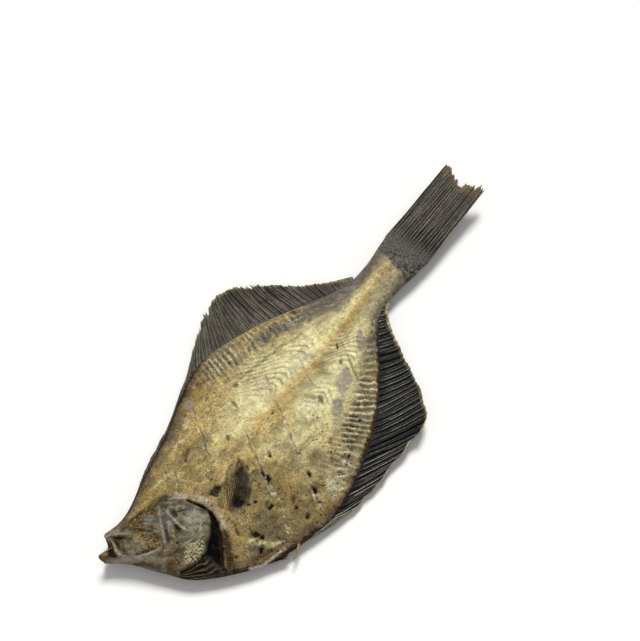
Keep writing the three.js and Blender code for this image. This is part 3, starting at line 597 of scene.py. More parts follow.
# Knife scores, made before salting, with torn stretches and salt glints; small holes, one of them at the
# breast fin's root; uneven drying, and the darker edges.
SCORES = [
    [(53, 16.5), (44, 5)],
    [(78.5, 28), (65.5, 6.0)],
    [(95, 17), (78.2, -9.5), (71.8, -23.4), (67.7, -32.1), (60.5, -45.4)],
    [(112.5, 13.5), (95.5, -17), (76.5, -51)],
    [(130, 8), (119.5, -11)],
    [(147, -5.5), (131.5, -34)],
]
ROOT_HOLE = (56.3, -19.1)
HOLE_SPREAD = 1.15
HOLES = [((73.4, -19.0), 1.7, 0.6, 62), ((73.2, -22.0), 1.9, 1.1, 50), ((86.8, -34.4), 1.6, 0.9, 62),
         ((82.9, -41.0), 1.5, 0.8, 62), ((80.0, -46.2), 1.1, 0.5, 60), (ROOT_HOLE, 2.4, 2.0, 10),
         ((82.2, -15.6), 1.3, 0.75, 60), ((61.6, -24.2), 1.0, 0.55, -10), ((59.0, -22.8), 0.9, 0.3, -60),
         ((54.4, -23.6), 1.6, 0.4, 38), ((46.0, -27.0), 1.9, 0.6, 65), ((47.7, -24.2), 0.5, 0.45, 0),
         ((50.5, -33.4), 2.0, 1.05, -52), ((50.6, -30.8), 1.4, 0.35, 68), ((51.5, -36.3), 1.0, 0.95, 0),
         ((48.5, -35.9), 0.8, 0.4, 60), ((47.0, -39.4), 1.5, 0.8, 30), ((37.7, -32.9), 0.7, 0.5, 0),
         ((63.5, -31.0), 1.1, 0.8, 0), ((64.9, -30.8), 0.9, 0.5, 40), ((71.1, -39.9), 0.8, 0.7, 0),
         ((71.4, -45.7), 1.3, 0.8, 10), ((57.1, 13.0), 0.5, 0.4, 0), ((26.1, -9.6), 0.6, 0.5, 0),
         ((71.5, -11.6), 1.2, 0.4, 72), ((71.6, -14.7), 0.6, 0.5, 0), ((98.5, -4.0), 0.7, 0.4, 0),
         ((105.2, -43.2), 0.6, 0.45, 0), ((121.8, -36.5), 1.1, 0.9, 0), ((143.6, -6.2), 1.5, 0.4, 52)]
glint_places = [(80.3, -14.7), (32.9, -8.3), (6.8, 7.0)]
BEADED = [([(75.2, -16.7), (71.8, -23.4), (67.7, -32.1), (60.5, -45.4)], 16),
          ([(99.0, -11.0), (95.5, -17), (76.5, -51)], 22)]
bead_draw = np.random.default_rng(391)
for path, count in BEADED:
    places = spline(path, bead_draw.uniform(0, 1, count)) + bead_draw.normal(0, 0.4, (count, 2))
    glint_places.extend(places.tolist())
score = np.zeros_like(x)
score_lip = np.zeros_like(x)
score_amber = np.zeros_like(x)
cut_dashes = np.clip(0.4 + 1.7 * noise(x, y, 3.4, 101), 0.05, 1)
amber_dashes = np.clip(0.5 + 1.2 * noise(x, y, 5, 115), 0, 1)
lip_dashes = np.clip(0.1 + 1.7 * noise(x, y, 3.2, 111), 0, 1)
for path in SCORES:
    distance, run = path_distance(path, x + 0.6 * ragged, y)
    ends = smooth(0, 0.08, run) * (1 - smooth(0.92, 1, run))
    score = np.maximum(score, hump(distance, 0.36) * (0.2 + 0.8 * ends) * cut_dashes)
    soaked_in = hump(distance + 0.4 * fine, 0.95) * ends * amber_dashes * smooth(92, 104, x)
    score_amber = np.maximum(score_amber, soaked_in)
    score_lip = np.maximum(score_lip, hump(distance - 0.75, 0.35) * ends * lip_dashes)
torn_holes = [(at, half_long * HOLE_SPREAD, half_wide * HOLE_SPREAD, angle)
              for at, half_long, half_wide, angle in HOLES]
hole = blots(torn_holes, 0.6, 1.15, fine + 0.5 * ragged)
glint_sizes = bead_draw.uniform(0.3, 0.75, len(glint_places))
glints = [(at, size, 0.65 * size, 62) for at, size in zip(glint_places, glint_sizes)]
glint = blots(glints, 0.4, 1.2, fine)
warp = 0.6 * noise(x, y, 24, 131) + 0.5 * noise(x, y, 9, 141) + 0.28 * noise(x, y, 3.6, 151)
wrinkle_line = np.abs(noise(x * 0.6 + y * 0.25, y * 1.3, 8, 161))
wrinkle = 0.8 * (0.35 - wrinkle_line) * smooth(46, 60, x) * (1 - head)
inner = smooth(0, 2.2, inset) * smooth(0.5, 4, x)
relief = spine + vertebrae + line_groove - 0.35 * segment * segment_side + ribs - 0.6 * crease + head_relief
relief = relief + warp + wrinkle + 0.25 * score_lip - 0.5 * score**2 - 1.4 * hole + 0.15 * glint
relief = relief + 0.8 * streak + 0.3 * leaf - breast_pocket + belly_relief
blind_height = height + inner * relief * (0.35 + 0.65 * thinning)
# The wrinkles' hollows are painted darker olive: painted shade.
wrinkle_shade = smooth(0.42, 0.8, wrinkle_line) * smooth(46, 60, x) * (1 - head)
wrinkle_shade = wrinkle_shade * (1 - 0.6 * np.clip(pale, 0, 1))
add_stain("wrinkle", "#5c5037", 0.5, 0.5, wrinkle_shade)
add_stain("score_amber", "#a3762f", 0.75, 0.5, score_amber)
add_stain("score_lip", "#cfc5a4", 0.65, 0.6, score_lip)
add_stain("score", "#553f24", 0.8, 0.5, score * (1 - 0.4 * smooth(96, 112, x)))
back_front = np.where(on_back, 1 - smooth(86, 116, x), 0)
back_shade = 0.9 * back_front * (1 - smooth(1.6, 6.5, inset + 3.0 * ragged))
belly_shade = np.where(on_back, 0, 0.8 - 0.8 * smooth(1.5, 6.0, inset + 2.4 * ragged)) * smooth(28, 44, x)
belly_shade = belly_shade * (1 - 0.9 * smooth(84, 106, x))
add_stain("shade", "#493a2e", 0.8, 0.6, np.maximum(back_shade, belly_shade) * (1 - head))
belly_purple = np.where(on_back, 0, 1 - smooth(0.8, 4.2, inset + 2.0 * ragged + 0.8 * fine))
belly_purple = belly_purple * smooth(58, 74, x) * (1 - smooth(92, 116, x))
add_stain("belly_purple", "#59403a", 0.85, 0.5, belly_purple)
scallop = 0.5 * rib_valley * rib_run
belly_edge = np.where(on_back, 0, 1 - smooth(0.6, 1.5, inset + 0.8 * ragged + 0.6 * fine - scallop))
belly_edge = belly_edge * (1 - 0.75 * smooth(158, 170, x))
back_edge = np.where(on_back, 1 - smooth(0.4, 1.5 + 1.2 * back_front, inset + 0.8 * ragged), 0)
back_edge = back_edge * (1 - smooth(98, 112, x))
back_ridge = np.where(on_back, 1 - smooth(0.8, 2.6, inset + 1.6 * ragged + 1.2 * fine), 0)
back_ridge = back_ridge * smooth(92, 106, x) * (1 - smooth(146, 158, x))
add_stain("back_ridge", "#a08b5a", 0.55, 0.9, back_ridge)
BACK_CRUST = [(111.5, 30.4), (117.1, 29.3), (123.0, 29.6), (129.4, 27.8), (137.1, 26.1), (141.9, 24.5),
              (147.0, 21.2)]
crust_distance, crust_run = path_distance(BACK_CRUST, x + 0.8 * ragged, y + 0.9 * fine + 0.7 * ragged)
back_crust = hump(crust_distance, 1.5) * np.sin(np.pi * np.clip(crust_run, 0.02, 0.98)) ** 0.4
CLOT = ((146.0, 22.3), 3.0, 1.4, -35)
clot = blots([CLOT], 0.5, 1.2, fine + ragged)
add_stain("back_crust", "#b39b62", 0.8, 0.7, back_crust)
add_stain("clot", "#4a3218", 0.9, 0.4, clot)
blind_height = blind_height + 0.7 * smooth(0.3, 1.2, inset) * np.maximum(back_crust, clot)
add_stain("edge", "#2c201c", 0.92, 0.4, np.maximum(belly_edge, back_edge) * smooth(14, 30, x))
stains.extend(belly_stains)
SKIN_END = 196.3
skin_end = SKIN_END + 0.3 * y + 1.6 * noise(x, y, 5, 231) + fine
on_tail = smooth(-1.0, 1.2, x - skin_end)
grit = noise(x, y, 1.3, 235)
add_stain("tail_skin", "#4d4b46", 0.97, 0.5, on_tail)
add_stain("tail_grit", "#7d7a72", 0.55, 0.3, on_tail * smooth(0.2, 0.6, grit))
add_stain("tail_pit", "#242321", 0.75, 0.3, on_tail * smooth(0.1, 0.5, -grit))
add_stain("hole", "#19141a", 1.0, 0.2, hole)
# The glints are white salt beads along the scores, and partly painted highlights on them.
add_stain("glint", "#ddd6c2", 0.85, 0.3, glint)

# Masks for patterns that the skin draws itself: scale cells behind the cheek, blood specks and freckles.
# The skin's own nodes draw each pattern, and its mask says where it shows.
HONEYCOMB = [(27.9, -13.0), (30.6, -14.8), (34.4, -16.6), (33.4, -18.8), (30.3, -20.7), (25.1, -20.9),
             (22.0, -18.6), (22.2, -16.1)]
FAINT_HONEYCOMB = [(37.1, -3.4), (42.0, -5.9), (42.6, -11.9), (39.0, -16.6), (34.6, -18.4), (31.3, -14.5),
                   (33.4, -9.5)]
SPECKLED = [
    [(19.8, 12.8), (22.9, 12.6), (26.1, 11.7), (28.4, 10.5), (30.5, 9.0)],
    [(23.6, 9.9), (21.8, 8.8), (20.0, 7.6)],
    [(19.3, 4.3), (19.6, 1.3), (20.4, -1.1), (20.3, -3.8)],
    [(24.5, 3.8), (24.2, 2.8)],
    [(21.0, -5.9), (20.7, -6.6)],
    [(17.4, -0.7), (17.2, -1.5)],
    [(18.1, -12.2), (20.4, -15.0)],
]
speckled = np.zeros_like(x)
for path in SPECKLED:
    speckled = np.maximum(speckled, 1 - smooth(0.4, 1.7, path_distance(path, x, y)[0] + 0.8 * ragged))
add_stain("speck_ground", "#3a2712", 0.85, 0.5, speckled)
SCALED = [(46.5, -19.5), (52, -20.8), (57, -21.5), (58.5, -27), (51, -29.5), (45.5, -34), (40, -37),
          (37.5, -33.5), (43.5, -26)]
patterns = {
    "honeycomb": np.maximum(smooth(-0.6, 0.8, depth_inside(HONEYCOMB, x, y)),
                            0.35 * smooth(-0.5, 2.0, depth_inside(FAINT_HONEYCOMB, x, y))),
    "speckled": speckled,
    "scaled": 0.7 * smooth(-1.5, 2.0, depth_inside(SCALED, x, y) + 1.5 * ragged),
    "freckled": smooth(0.0, 0.5, noise(x, y, 11, 241)) * (1 - smooth(100, 130, x)) * (1 - head),
}

# The eyed side: the same plan, hidden under the fish, with its own gill cover and two eye sockets. It is
# flatter than the blind side, and rests on the table.
under_x, under_y, _, under_share, under_inset = plan(EYED_STEPS, EYED_LIP_SHARE)
EYES = [(30.5, 11.0, 4.3), (23.0, 2.6, 4.1)]
under_thinning = 1 - smooth(*TAIL_TAPER, under_x)
lower = rim - RIM_HALF * (0.2 + 0.8 * under_thinning)
lower = lower - drop * under_thinning * (1 - under_share**KEEL_POWER)
under_gap = smooth(0.0, 1.2, depth_inside(GILL_GAP, under_x, under_y)) * smooth(-30, -20, under_y)
socket = np.zeros_like(under_x)
for ex, ey, radius in EYES:
    distance = np.hypot(under_x - ex, under_y - ey)
    socket = socket + 0.7 * hump(distance - radius, 1.0) - 1.2 * hump(distance, radius * 0.7)
UNDER_GROOVES = [
    ([(4.6, 11.5), (5.6, 8.0), (9.4, 3.4), (13.0, 0.6)], 0.8, 0.8),
    ([(13.0, 14.5), (16.0, 9.0), (17.5, 3.0)], 0.5, 0.9),
    ([(34.5, 5.5), (33.0, -2.0), (30.0, -9.0), (23.5, -14.5)], 0.6, 0.9),
    ([(38.5, 9.5), (41.5, 4.5), (43.0, -0.6)], 0.7, 0.8),
]
grooves = np.zeros_like(under_x)
for path, sunk, half_wide in UNDER_GROOVES:
    distance, run = path_distance(path, under_x + 0.4 * noise(under_x, under_y, 4, 321), under_y)
    grooves = np.maximum(grooves, sunk * hump(distance, half_wide) * (0.4 + 0.6 * np.sin(np.pi * run)))
under_line = np.abs(under_y - np.interp(under_x, *zip(*LATERAL_LINE)))
under_spine = 0.5 * hump(under_line, 4) * smooth(55, 90, under_x)
under_spine = under_spine + 0.3 * hump(under_line, 0.8) * smooth(48, 60, under_x)
under_rib_x = under_x + 0.4 * under_inset + 0.6 * noise(under_x, under_y, 10, 331)
under_ribs = 0.5 + 0.5 * np.sin(2 * np.pi * under_rib_x / RAY_PITCH)
under_ribs = 0.45 * under_ribs * smooth(0.62, 0.78, under_share) * (1 - smooth(0.94, 1.0, under_share))
under_ribs = under_ribs * smooth(58, 74, under_x) * (1 - smooth(160, 172, under_x))
under_folds = np.abs(noise(under_x, under_y, 14, 301)) + 0.7 * np.abs(noise(under_x, under_y * 1.5, 6, 311))
under_relief = 2.0 * under_gap + grooves - socket - under_spine - under_ribs + under_folds
under_height = np.maximum(lower + smooth(0, 3, under_inset) * smooth(0.5, 5, under_x) * under_relief, 0)
eyed_side = np.stack([under_x, under_y, under_height], 2)

# Mesh of the body: rings of blind side, belly rim, eyed side and back rim, and the throat behind the lips.
# Each ring is closed, and is joined to the next from the throat to the tail's root.
THROAT = np.array([18.0, 9.5, 7.2])
THROAT_STEPS = [0.97, 0.8, 0.55, 0.3, 0.14, 0.06]


def loft(rings):
    count, size = rings.shape[:2]
    a = (np.arange(count - 1)[:, None] * size + np.arange(size)).ravel()
    b = (np.arange(count - 1)[:, None] * size + (np.arange(size) + 1) % size).ravel()
    faces = np.stack([a, b, b + size, a + size], 1).tolist()
    faces.append(list(range(size))[::-1])
    faces.append(list(range((count - 1) * size, count * size)))
    return rings.reshape(-1, 3), faces


blind_ring = np.stack([x, y, blind_height], 2)
eyed_ring = eyed_side[:, ::-1]
rim_out = np.stack([np.zeros_like(rim), RIM_ROUND * thinning[:, :1], np.zeros_like(rim)], 2)
belly_rim = np.stack([belly_x, belly_y, rim], 2) - rim_out
back_rim = np.stack([back_x, back_y, rim], 2) + rim_out
rings = np.concatenate([blind_ring, belly_rim, eyed_ring, back_rim], 1)
throat_rings = np.stack([rings[0] + (THROAT - rings[0]) * step for step in THROAT_STEPS])
body_rings = np.concatenate([throat_rings, rings])
body_points, body_faces = loft(body_rings)
ring_size = rings.shape[1]

# Blind skin is parchment-like: matt and faintly greasy, with a fine scale grain, stained by fat and blood.
# Stains lie one over another from the flesh outwards; each follows its mask, broken up by the crinkles.
# Real skin grain is too fine to show, so grain and specks are drawn as coarse as they need to be seen.
SCALE_SIZE = 1.0
GRAIN_SIZE = 0.6
CRINKLE_SIZE = 2.2
MOTTLE_SIZE = 6
FRECKLE_SIZE = 3.6
OCHRE_DARK = "#7c6735"
OCHRE_LIGHT = "#c6ac66"
HONEYCOMB_PALE = "#b0a782"
SCALE_GOLD = "#ab9660"
HONEYCOMB_SIZE = 1.2
CRACK_SIZE = 6
SPECK_SIZE = 0.8
BLOOD_SPECK = "#705026"
SPECK_PALE = "#b39a63"
FRECKLE = "#33281a"


def add_node(tree, kind, inputs=None, **settings):
    added = tree.nodes.new(kind)
    for name, value in settings.items():
        setattr(added, name, value)
    for socket, value in (inputs or {}).items():
        if isinstance(value, bpy.types.NodeSocket):
            tree.links.new(value, added.inputs[socket])
        else:
            added.inputs[socket].default_value = value
    return added


def new_material(name):
    material = bpy.data.materials.new(name)
    material.use_nodes = True
    return material, material.node_tree, material.node_tree.nodes["Principled BSDF"]


blind_skin, tree, shader = new_material("dried_blind_skin")
place = add_node(tree, "ShaderNodeTexCoord").outputs["Object"]
scales = add_node(tree, "ShaderNodeTexVoronoi", {"Vector": place, "Scale": 1 / (SCALE_SIZE * MM)})
grain = add_node(tree, "ShaderNodeTexNoise",
                 {"Vector": place, "Scale": 1 / (GRAIN_SIZE * MM), "Detail": 3.0, "Roughness": 0.65})
crinkle = add_node(tree, "ShaderNodeTexNoise",
                   {"Vector": place, "Scale": 1 / (CRINKLE_SIZE * MM), "Detail": 4.0, "Roughness": 0.6,
                    "Distortion": 0.6})
mottle = add_node(tree, "ShaderNodeTexNoise",
                  {"Vector": place, "Scale": 1 / (MOTTLE_SIZE * MM), "Detail": 6.0, "Roughness": 0.68})
mottled = add_node(tree, "ShaderNodeMapRange",
                   {"Value": mottle.outputs["Fac"], "From Min": 0.34, "From Max": 0.66})
flesh = add_node(tree, "ShaderNodeMix",
                 {0: mottled.outputs["Result"], 6: linear(OCHRE_DARK), 7: linear(OCHRE_LIGHT)},
                 data_type="RGBA")
colour = flesh.outputs[2]
swing = add_node(tree, "ShaderNodeMapRange",
                 {"Value": crinkle.outputs["Fac"], "From Min": 0.3, "From Max": 0.7, "To Min": -1.0,
                  "To Max": 1.0})
for name, stain, strength, torn_up, _ in stains:
    spread = add_node(tree, "ShaderNodeAttribute", attribute_name=name)
    broken = add_node(tree, "ShaderNodeMath", {0: swing.outputs["Result"], 1: torn_up, 2: 1.0},
                      operation="MULTIPLY_ADD")
    factor = add_node(tree, "ShaderNodeMath", {0: spread.outputs["Fac"], 1: broken.outputs[0]},
                      operation="MULTIPLY", use_clamp=True)
    weight = add_node(tree, "ShaderNodeMath", {0: factor.outputs[0], 1: strength}, operation="MULTIPLY")
    if stain.startswith("#"):
        paint = linear(stain)
    else:
        paint = add_node(tree, "ShaderNodeAttribute", attribute_name=stain).outputs["Color"]
    laid = add_node(tree, "ShaderNodeMix", {0: weight.outputs[0], 6: colour, 7: paint}, data_type="RGBA")
    colour = laid.outputs[2]
cells = add_node(tree, "ShaderNodeTexVoronoi",
                 {"Vector": place, "Scale": 1 / (HONEYCOMB_SIZE * MM), "Randomness": 0.5},
                 voronoi_dimensions="2D")
cell = add_node(tree, "ShaderNodeMapRange",
                {"Value": cells.outputs["Distance"], "From Min": 0.36, "From Max": 0.5, "To Min": 1.0,
                 "To Max": 0.0})
dots = add_node(tree, "ShaderNodeTexVoronoi", {"Vector": place, "Scale": 1 / (SPECK_SIZE * MM)},
                voronoi_dimensions="2D")
speck = add_node(tree, "ShaderNodeMapRange",
                 {"Value": dots.outputs["Distance"], "From Min": 0.3, "From Max": 0.46, "To Min": 1.0,
                  "To Max": 0.0})
bright_dot = add_node(tree, "ShaderNodeSeparateColor", {"Color": dots.outputs["Color"]})
bright_dot = add_node(tree, "ShaderNodeMapRange",
                      {"Value": bright_dot.outputs["Red"], "From Min": 0.6, "From Max": 0.68})
pale_speck = add_node(tree, "ShaderNodeMapRange",
                      {"Value": speck.outputs["Result"], "From Min": 0.3,
                       "To Max": bright_dot.outputs["Result"]})
freckles = add_node(tree, "ShaderNodeTexVoronoi", {"Vector": place, "Scale": 1 / (FRECKLE_SIZE * MM)},
                    voronoi_dimensions="2D")
freckle = add_node(tree, "ShaderNodeMapRange",
                   {"Value": freckles.outputs["Distance"], "From Min": 0.08, "From Max": 0.17,
                    "To Min": 0.85, "To Max": 0.0})
for name, drawn, pattern in [("honeycomb", cell, HONEYCOMB_PALE), ("scaled", cell, SCALE_GOLD),
                             ("speckled", speck, BLOOD_SPECK), ("speckled", pale_speck, SPECK_PALE),
                             ("freckled", freckle, FRECKLE)]:
    spread = add_node(tree, "ShaderNodeAttribute", attribute_name=name)
    weight = add_node(tree, "ShaderNodeMath", {0: spread.outputs["Fac"], 1: drawn.outputs["Result"]},
                      operation="MULTIPLY")
    laid = add_node(tree, "ShaderNodeMix", {0: weight.outputs[0], 6: colour, 7: linear(pattern)},
                    data_type="RGBA")
    colour = laid.outputs[2]
crackle = add_node(tree, "ShaderNodeTexNoise",
                   {"Vector": place, "Scale": 1 / (CRACK_SIZE * MM), "Detail": 3.0, "Roughness": 0.55,
                    "Distortion": 1.2})
crack = add_node(tree, "ShaderNodeMath", {0: crackle.outputs["Fac"], 1: 0.5}, operation="SUBTRACT")
crack = add_node(tree, "ShaderNodeMath", {0: crack.outputs[0]}, operation="ABSOLUTE")
cracks = add_node(tree, "ShaderNodeMapRange",
                  {"Value": crack.outputs[0], "From Min": 0.0, "From Max": 0.02, "To Min": 0.62,
                   "To Max": 1.0})
seams = add_node(tree, "ShaderNodeMapRange",
                 {"Value": scales.outputs["Distance"], "From Min": 0.2, "From Max": 0.75, "To Min": 1.08,
                  "To Max": 0.82})
tone = add_node(tree, "ShaderNodeMapRange",
                {"Value": grain.outputs["Fac"], "From Min": 0.34, "From Max": 0.66, "To Min": 0.56,
                 "To Max": 1.4})
shade = add_node(tree, "ShaderNodeMapRange",
                 {"Value": crinkle.outputs["Fac"], "From Min": 0.32, "From Max": 0.68, "To Min": 0.62,
                  "To Max": 1.3})
grainy = 1.0
for name, least in (("cream", 0.42), ("head", 0.55)):
    spread = add_node(tree, "ShaderNodeAttribute", attribute_name=name)
    calmed = add_node(tree, "ShaderNodeMapRange",
                      {"Value": spread.outputs["Fac"], "To Min": grainy, "To Max": least})
    grainy = calmed.outputs["Result"]
for variation in (cracks, seams, tone, shade):
    toned = add_node(tree, "ShaderNodeMix", {0: grainy, 6: colour, 7: variation.outputs["Result"]},
                     data_type="RGBA", blend_type="MULTIPLY")
    colour = toned.outputs[2]
warmed = add_node(tree, "ShaderNodeHueSaturation", {"Color": colour, "Saturation": 1.02, "Value": 0.97})
tree.links.new(warmed.outputs["Color"], shader.inputs["Base Color"])
bright = add_node(tree, "ShaderNodeRGBToBW", {"Color": warmed.outputs["Color"]})
sheen = add_node(tree, "ShaderNodeMapRange",
                 {"Value": bright.outputs["Val"], "From Min": 0.01, "From Max": 0.12, "To Min": 0.03,
                  "To Max": 0.36})
tree.links.new(sheen.outputs["Result"], shader.inputs["Specular IOR Level"])
gloss = add_node(tree, "ShaderNodeMapRange",
                 {"Value": mottle.outputs["Fac"], "From Min": 0.3, "From Max": 0.7, "To Min": 0.7,
                  "To Max": 0.46})
tree.links.new(gloss.outputs["Result"], shader.inputs["Roughness"])
normal = None
for height_of, deep_mm in ((crinkle.outputs["Fac"], 0.9), (cracks.outputs["Result"], 0.35),
                           (scales.outputs["Distance"], -0.14), (grain.outputs["Fac"], 0.28)):
    bump = add_node(tree, "ShaderNodeBump",
                    {"Height": height_of, "Strength": 0.6, "Distance": deep_mm * MM})
    if normal:
        tree.links.new(normal, bump.inputs["Normal"])
    normal = bump.outputs["Normal"]
tree.links.new(normal, shader.inputs["Normal"])

# Eyed skin is dark and leathery: charcoal with small rough scales that catch the light, and tan scurf. The
# gill opening is painted black in it, as painted shade.
HIDE_DARK = "#0c0d0c"
HIDE_LIGHT = "#48473f"
SCURF = "#9a8d68"
TAN = "#4a4029"
GILL_SHADE_BLACK = "#0c0b0a"
TAN_SIZE = 17
FLAKE_SIZE = 3.0
eyed_skin, tree, shader = new_material("dried_eyed_skin")
place = add_node(tree, "ShaderNodeTexCoord").outputs["Object"]
scales = add_node(tree, "ShaderNodeTexVoronoi", {"Vector": place, "Scale": 1 / (SCALE_SIZE * MM)})
grain = add_node(tree, "ShaderNodeTexNoise",
                 {"Vector": place, "Scale": 1 / (GRAIN_SIZE * MM), "Detail": 4.0})
mottle = add_node(tree, "ShaderNodeTexNoise",
                  {"Vector": place, "Scale": 1 / (MOTTLE_SIZE * 2 * MM), "Detail": 6.0, "Roughness": 0.65})
mottled = add_node(tree, "ShaderNodeMapRange",
                   {"Value": mottle.outputs["Fac"], "From Min": 0.4, "From Max": 0.66})
hide = add_node(tree, "ShaderNodeMix",
                {0: mottled.outputs["Result"], 6: linear(HIDE_DARK), 7: linear(HIDE_LIGHT)},
                data_type="RGBA")
flakes = add_node(tree, "ShaderNodeTexVoronoi", {"Vector": place, "Scale": 1 / (FLAKE_SIZE * MM)})
flake = add_node(tree, "ShaderNodeMapRange",
                 {"Value": flakes.outputs["Distance"], "From Min": 0.1, "From Max": 0.14, "To Min": 0.9,
                  "To Max": 0.0})
flake_draw = add_node(tree, "ShaderNodeSeparateColor", {"Color": flakes.outputs["Color"]})
flake_kept = add_node(tree, "ShaderNodeMapRange",
                      {"Value": flake_draw.outputs["Red"], "From Min": 0.7, "From Max": 0.9})
flake = add_node(tree, "ShaderNodeMath", {0: flake.outputs["Result"], 1: flake_kept.outputs["Result"]},
                 operation="MULTIPLY")
speck = add_node(tree, "ShaderNodeMapRange",
                 {"Value": grain.outputs["Fac"], "From Min": 0.62, "From Max": 0.7, "To Max": 0.8})
scurf = add_node(tree, "ShaderNodeMath", {0: flake.outputs[0], 1: speck.outputs["Result"]},
                 operation="MAXIMUM")
hide = add_node(tree, "ShaderNodeMix", {0: scurf.outputs[0], 6: hide.outputs[2], 7: linear(SCURF)},
                data_type="RGBA")
tan = add_node(tree, "ShaderNodeTexNoise",
               {"Vector": place, "Scale": 1 / (TAN_SIZE * MM), "Detail": 5.0, "Roughness": 0.7})
tanned = add_node(tree, "ShaderNodeMapRange",
                  {"Value": tan.outputs["Fac"], "From Min": 0.5, "From Max": 0.72, "To Max": 0.6})
hide = add_node(tree, "ShaderNodeMix", {0: tanned.outputs["Result"], 6: hide.outputs[2], 7: linear(TAN)},
                data_type="RGBA")
gap = add_node(tree, "ShaderNodeAttribute", attribute_name="gill")
hide = add_node(tree, "ShaderNodeMix", {0: gap.outputs["Fac"], 6: hide.outputs[2], 7: linear(GILL_SHADE_BLACK)},
                data_type="RGBA")
tree.links.new(hide.outputs[2], shader.inputs["Base Color"])
gloss = add_node(tree, "ShaderNodeMapRange",
                 {"Value": grain.outputs["Fac"], "To Min": 0.62, "To Max": 0.36})
tree.links.new(gloss.outputs["Result"], shader.inputs["Roughness"])
fold_bump = add_node(tree, "ShaderNodeBump",
                     {"Height": mottle.outputs["Fac"], "Strength": 0.8, "Distance": 2.5 * MM})
scale_bump = add_node(tree, "ShaderNodeBump",
                      {"Height": scales.outputs["Distance"], "Strength": 0.8, "Distance": -0.35 * MM,
                       "Normal": fold_bump.outputs["Normal"]})
grain_bump = add_node(tree, "ShaderNodeBump",
                      {"Height": grain.outputs["Fac"], "Strength": 0.5, "Distance": 0.15 * MM,
                       "Normal": scale_bump.outputs["Normal"]})
tree.links.new(grain_bump.outputs["Normal"], shader.inputs["Normal"])

# Dry mouth lining: a brown membrane, darker in its folds. It lines the pocket of the throat, which narrows
# behind the lips.
LINING_SIZE = 1.2
LINING_DARK = "#1c140e"
LINING_LIGHT = "#6e5230"
mouth_lining, tree, shader = new_material("dried_mouth_lining")
place = add_node(tree, "ShaderNodeTexCoord").outputs["Object"]
grain = add_node(tree, "ShaderNodeTexNoise",
                 {"Vector": place, "Scale": 1 / (LINING_SIZE * MM), "Detail": 5.0})
lining = add_node(tree, "ShaderNodeMix",
                  {0: grain.outputs["Fac"], 6: linear(LINING_DARK), 7: linear(LINING_LIGHT)},
                  data_type="RGBA")
tree.links.new(lining.outputs[2], shader.inputs["Base Color"])
shader.inputs["Roughness"].default_value = 0.5
bump = add_node(tree, "ShaderNodeBump",
                {"Height": grain.outputs["Fac"], "Strength": 0.6, "Distance": 0.3 * MM})
tree.links.new(bump.outputs["Normal"], shader.inputs["Normal"])


def add_mesh(name, points, faces, materials):
    mesh = bpy.data.meshes.new(name)
    mesh.from_pydata(to_frame(points).tolist(), [], faces)
    for material in materials:
        mesh.materials.append(material)
    mesh.shade_smooth()
    piece = bpy.data.objects.new(name, mesh)
    bpy.context.scene.collection.objects.link(piece)
    return piece


def add_mask(piece, name, values):
    layer = piece.data.attributes.new(name, "FLOAT", "POINT")
    layer.data.foreach_set("value", np.ascontiguousarray(values, np.float32).ravel())


# The body takes its three skins, and carries the masks and the head's colours on its points. Its eyed side
# has one mask, that of the gill opening.
body = add_mesh("body", body_points, body_faces, [blind_skin, eyed_skin, mouth_lining])
around = np.arange(ring_size)
finish_around = np.where((around > BLIND_STEPS) & (around <= BLIND_STEPS + 1 + EYED_STEPS), 1, 0)
finish = np.tile(finish_around, len(body_rings) - 1)
finish[:ring_size * len(THROAT_STEPS)] = 2
body.data.polygons.foreach_set("material_index", np.append(finish, [2, 0]).astype(np.int32))
masks = {name: mask for name, _, _, _, mask in stains}
for name, mask in [*masks.items(), *patterns.items()]:
    whole = np.zeros(body_rings.shape[:2])
    skin = whole[len(THROAT_STEPS):]
    skin[:, :BLIND_STEPS + 1] = np.clip(mask, 0, 1)
    skin[:, BLIND_STEPS + 1] = skin[:, BLIND_STEPS]
    skin[:, -1] = skin[:, 0]
    if name == "gill":
        skin[:, BLIND_STEPS + 2:-1] = under_gap[:, ::-1]
    add_mask(body, name, whole)
tint = np.ones((*body_rings.shape[:2], 4))
skin = tint[len(THROAT_STEPS):]
skin[:, :BLIND_STEPS + 1, :3] = head_paint
skin[:, BLIND_STEPS + 1] = skin[:, BLIND_STEPS]
skin[:, -1] = skin[:, 0]
head_tint = body.data.attributes.new("head_paint", "FLOAT_COLOR", "POINT")
head_tint.data.foreach_set("color", tint.astype(np.float32).ravel())
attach(body, "root")
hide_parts("dried_flounder")

# The eyes: both are on the hidden eyed side. Each has dried to a cup with a thick rim and a sunken cornea,
# set in its socket; the iris is brown and the pupil has clouded over.
EYE_SHARE = 0.86
EYE_PROFILE = [(1.0, 1.2), (1.0, 0.5), (0.95, 0.0), (0.84, -0.42), (0.72, -0.64), (0.62, -0.6),
               (0.5, -0.38), (0.36, -0.3), (0.2, -0.42), (0.01, -0.46)]
EYE_AROUND = 40
EYE_STEPS = 36
EYE_GRAIN = 0.5
IRIS_SHARE = (0.6, 0.66)
PUPIL_SHARE = (0.26, 0.32)
eye_finish, tree, shader = new_material("dried_eye")
place = add_node(tree, "ShaderNodeTexCoord").outputs["Object"]
grain = add_node(tree, "ShaderNodeTexNoise",
                 {"Vector": place, "Scale": 1 / (EYE_GRAIN * MM), "Detail": 4.0})
radius = add_node(tree, "ShaderNodeAttribute", attribute_name="eye_radius")
white = add_node(tree, "ShaderNodeMix",
                 {0: grain.outputs["Fac"], 6: linear("#1d1a16"), 7: linear("#54493a")}, data_type="RGBA")
iris = add_node(tree, "ShaderNodeMix",
                {0: grain.outputs["Fac"], 6: linear("#231808"), 7: linear("#6a4f24")}, data_type="RGBA")
pupil = add_node(tree, "ShaderNodeMix",
                 {0: grain.outputs["Fac"], 6: linear("#0c0c0c"), 7: linear("#26282a")}, data_type="RGBA")
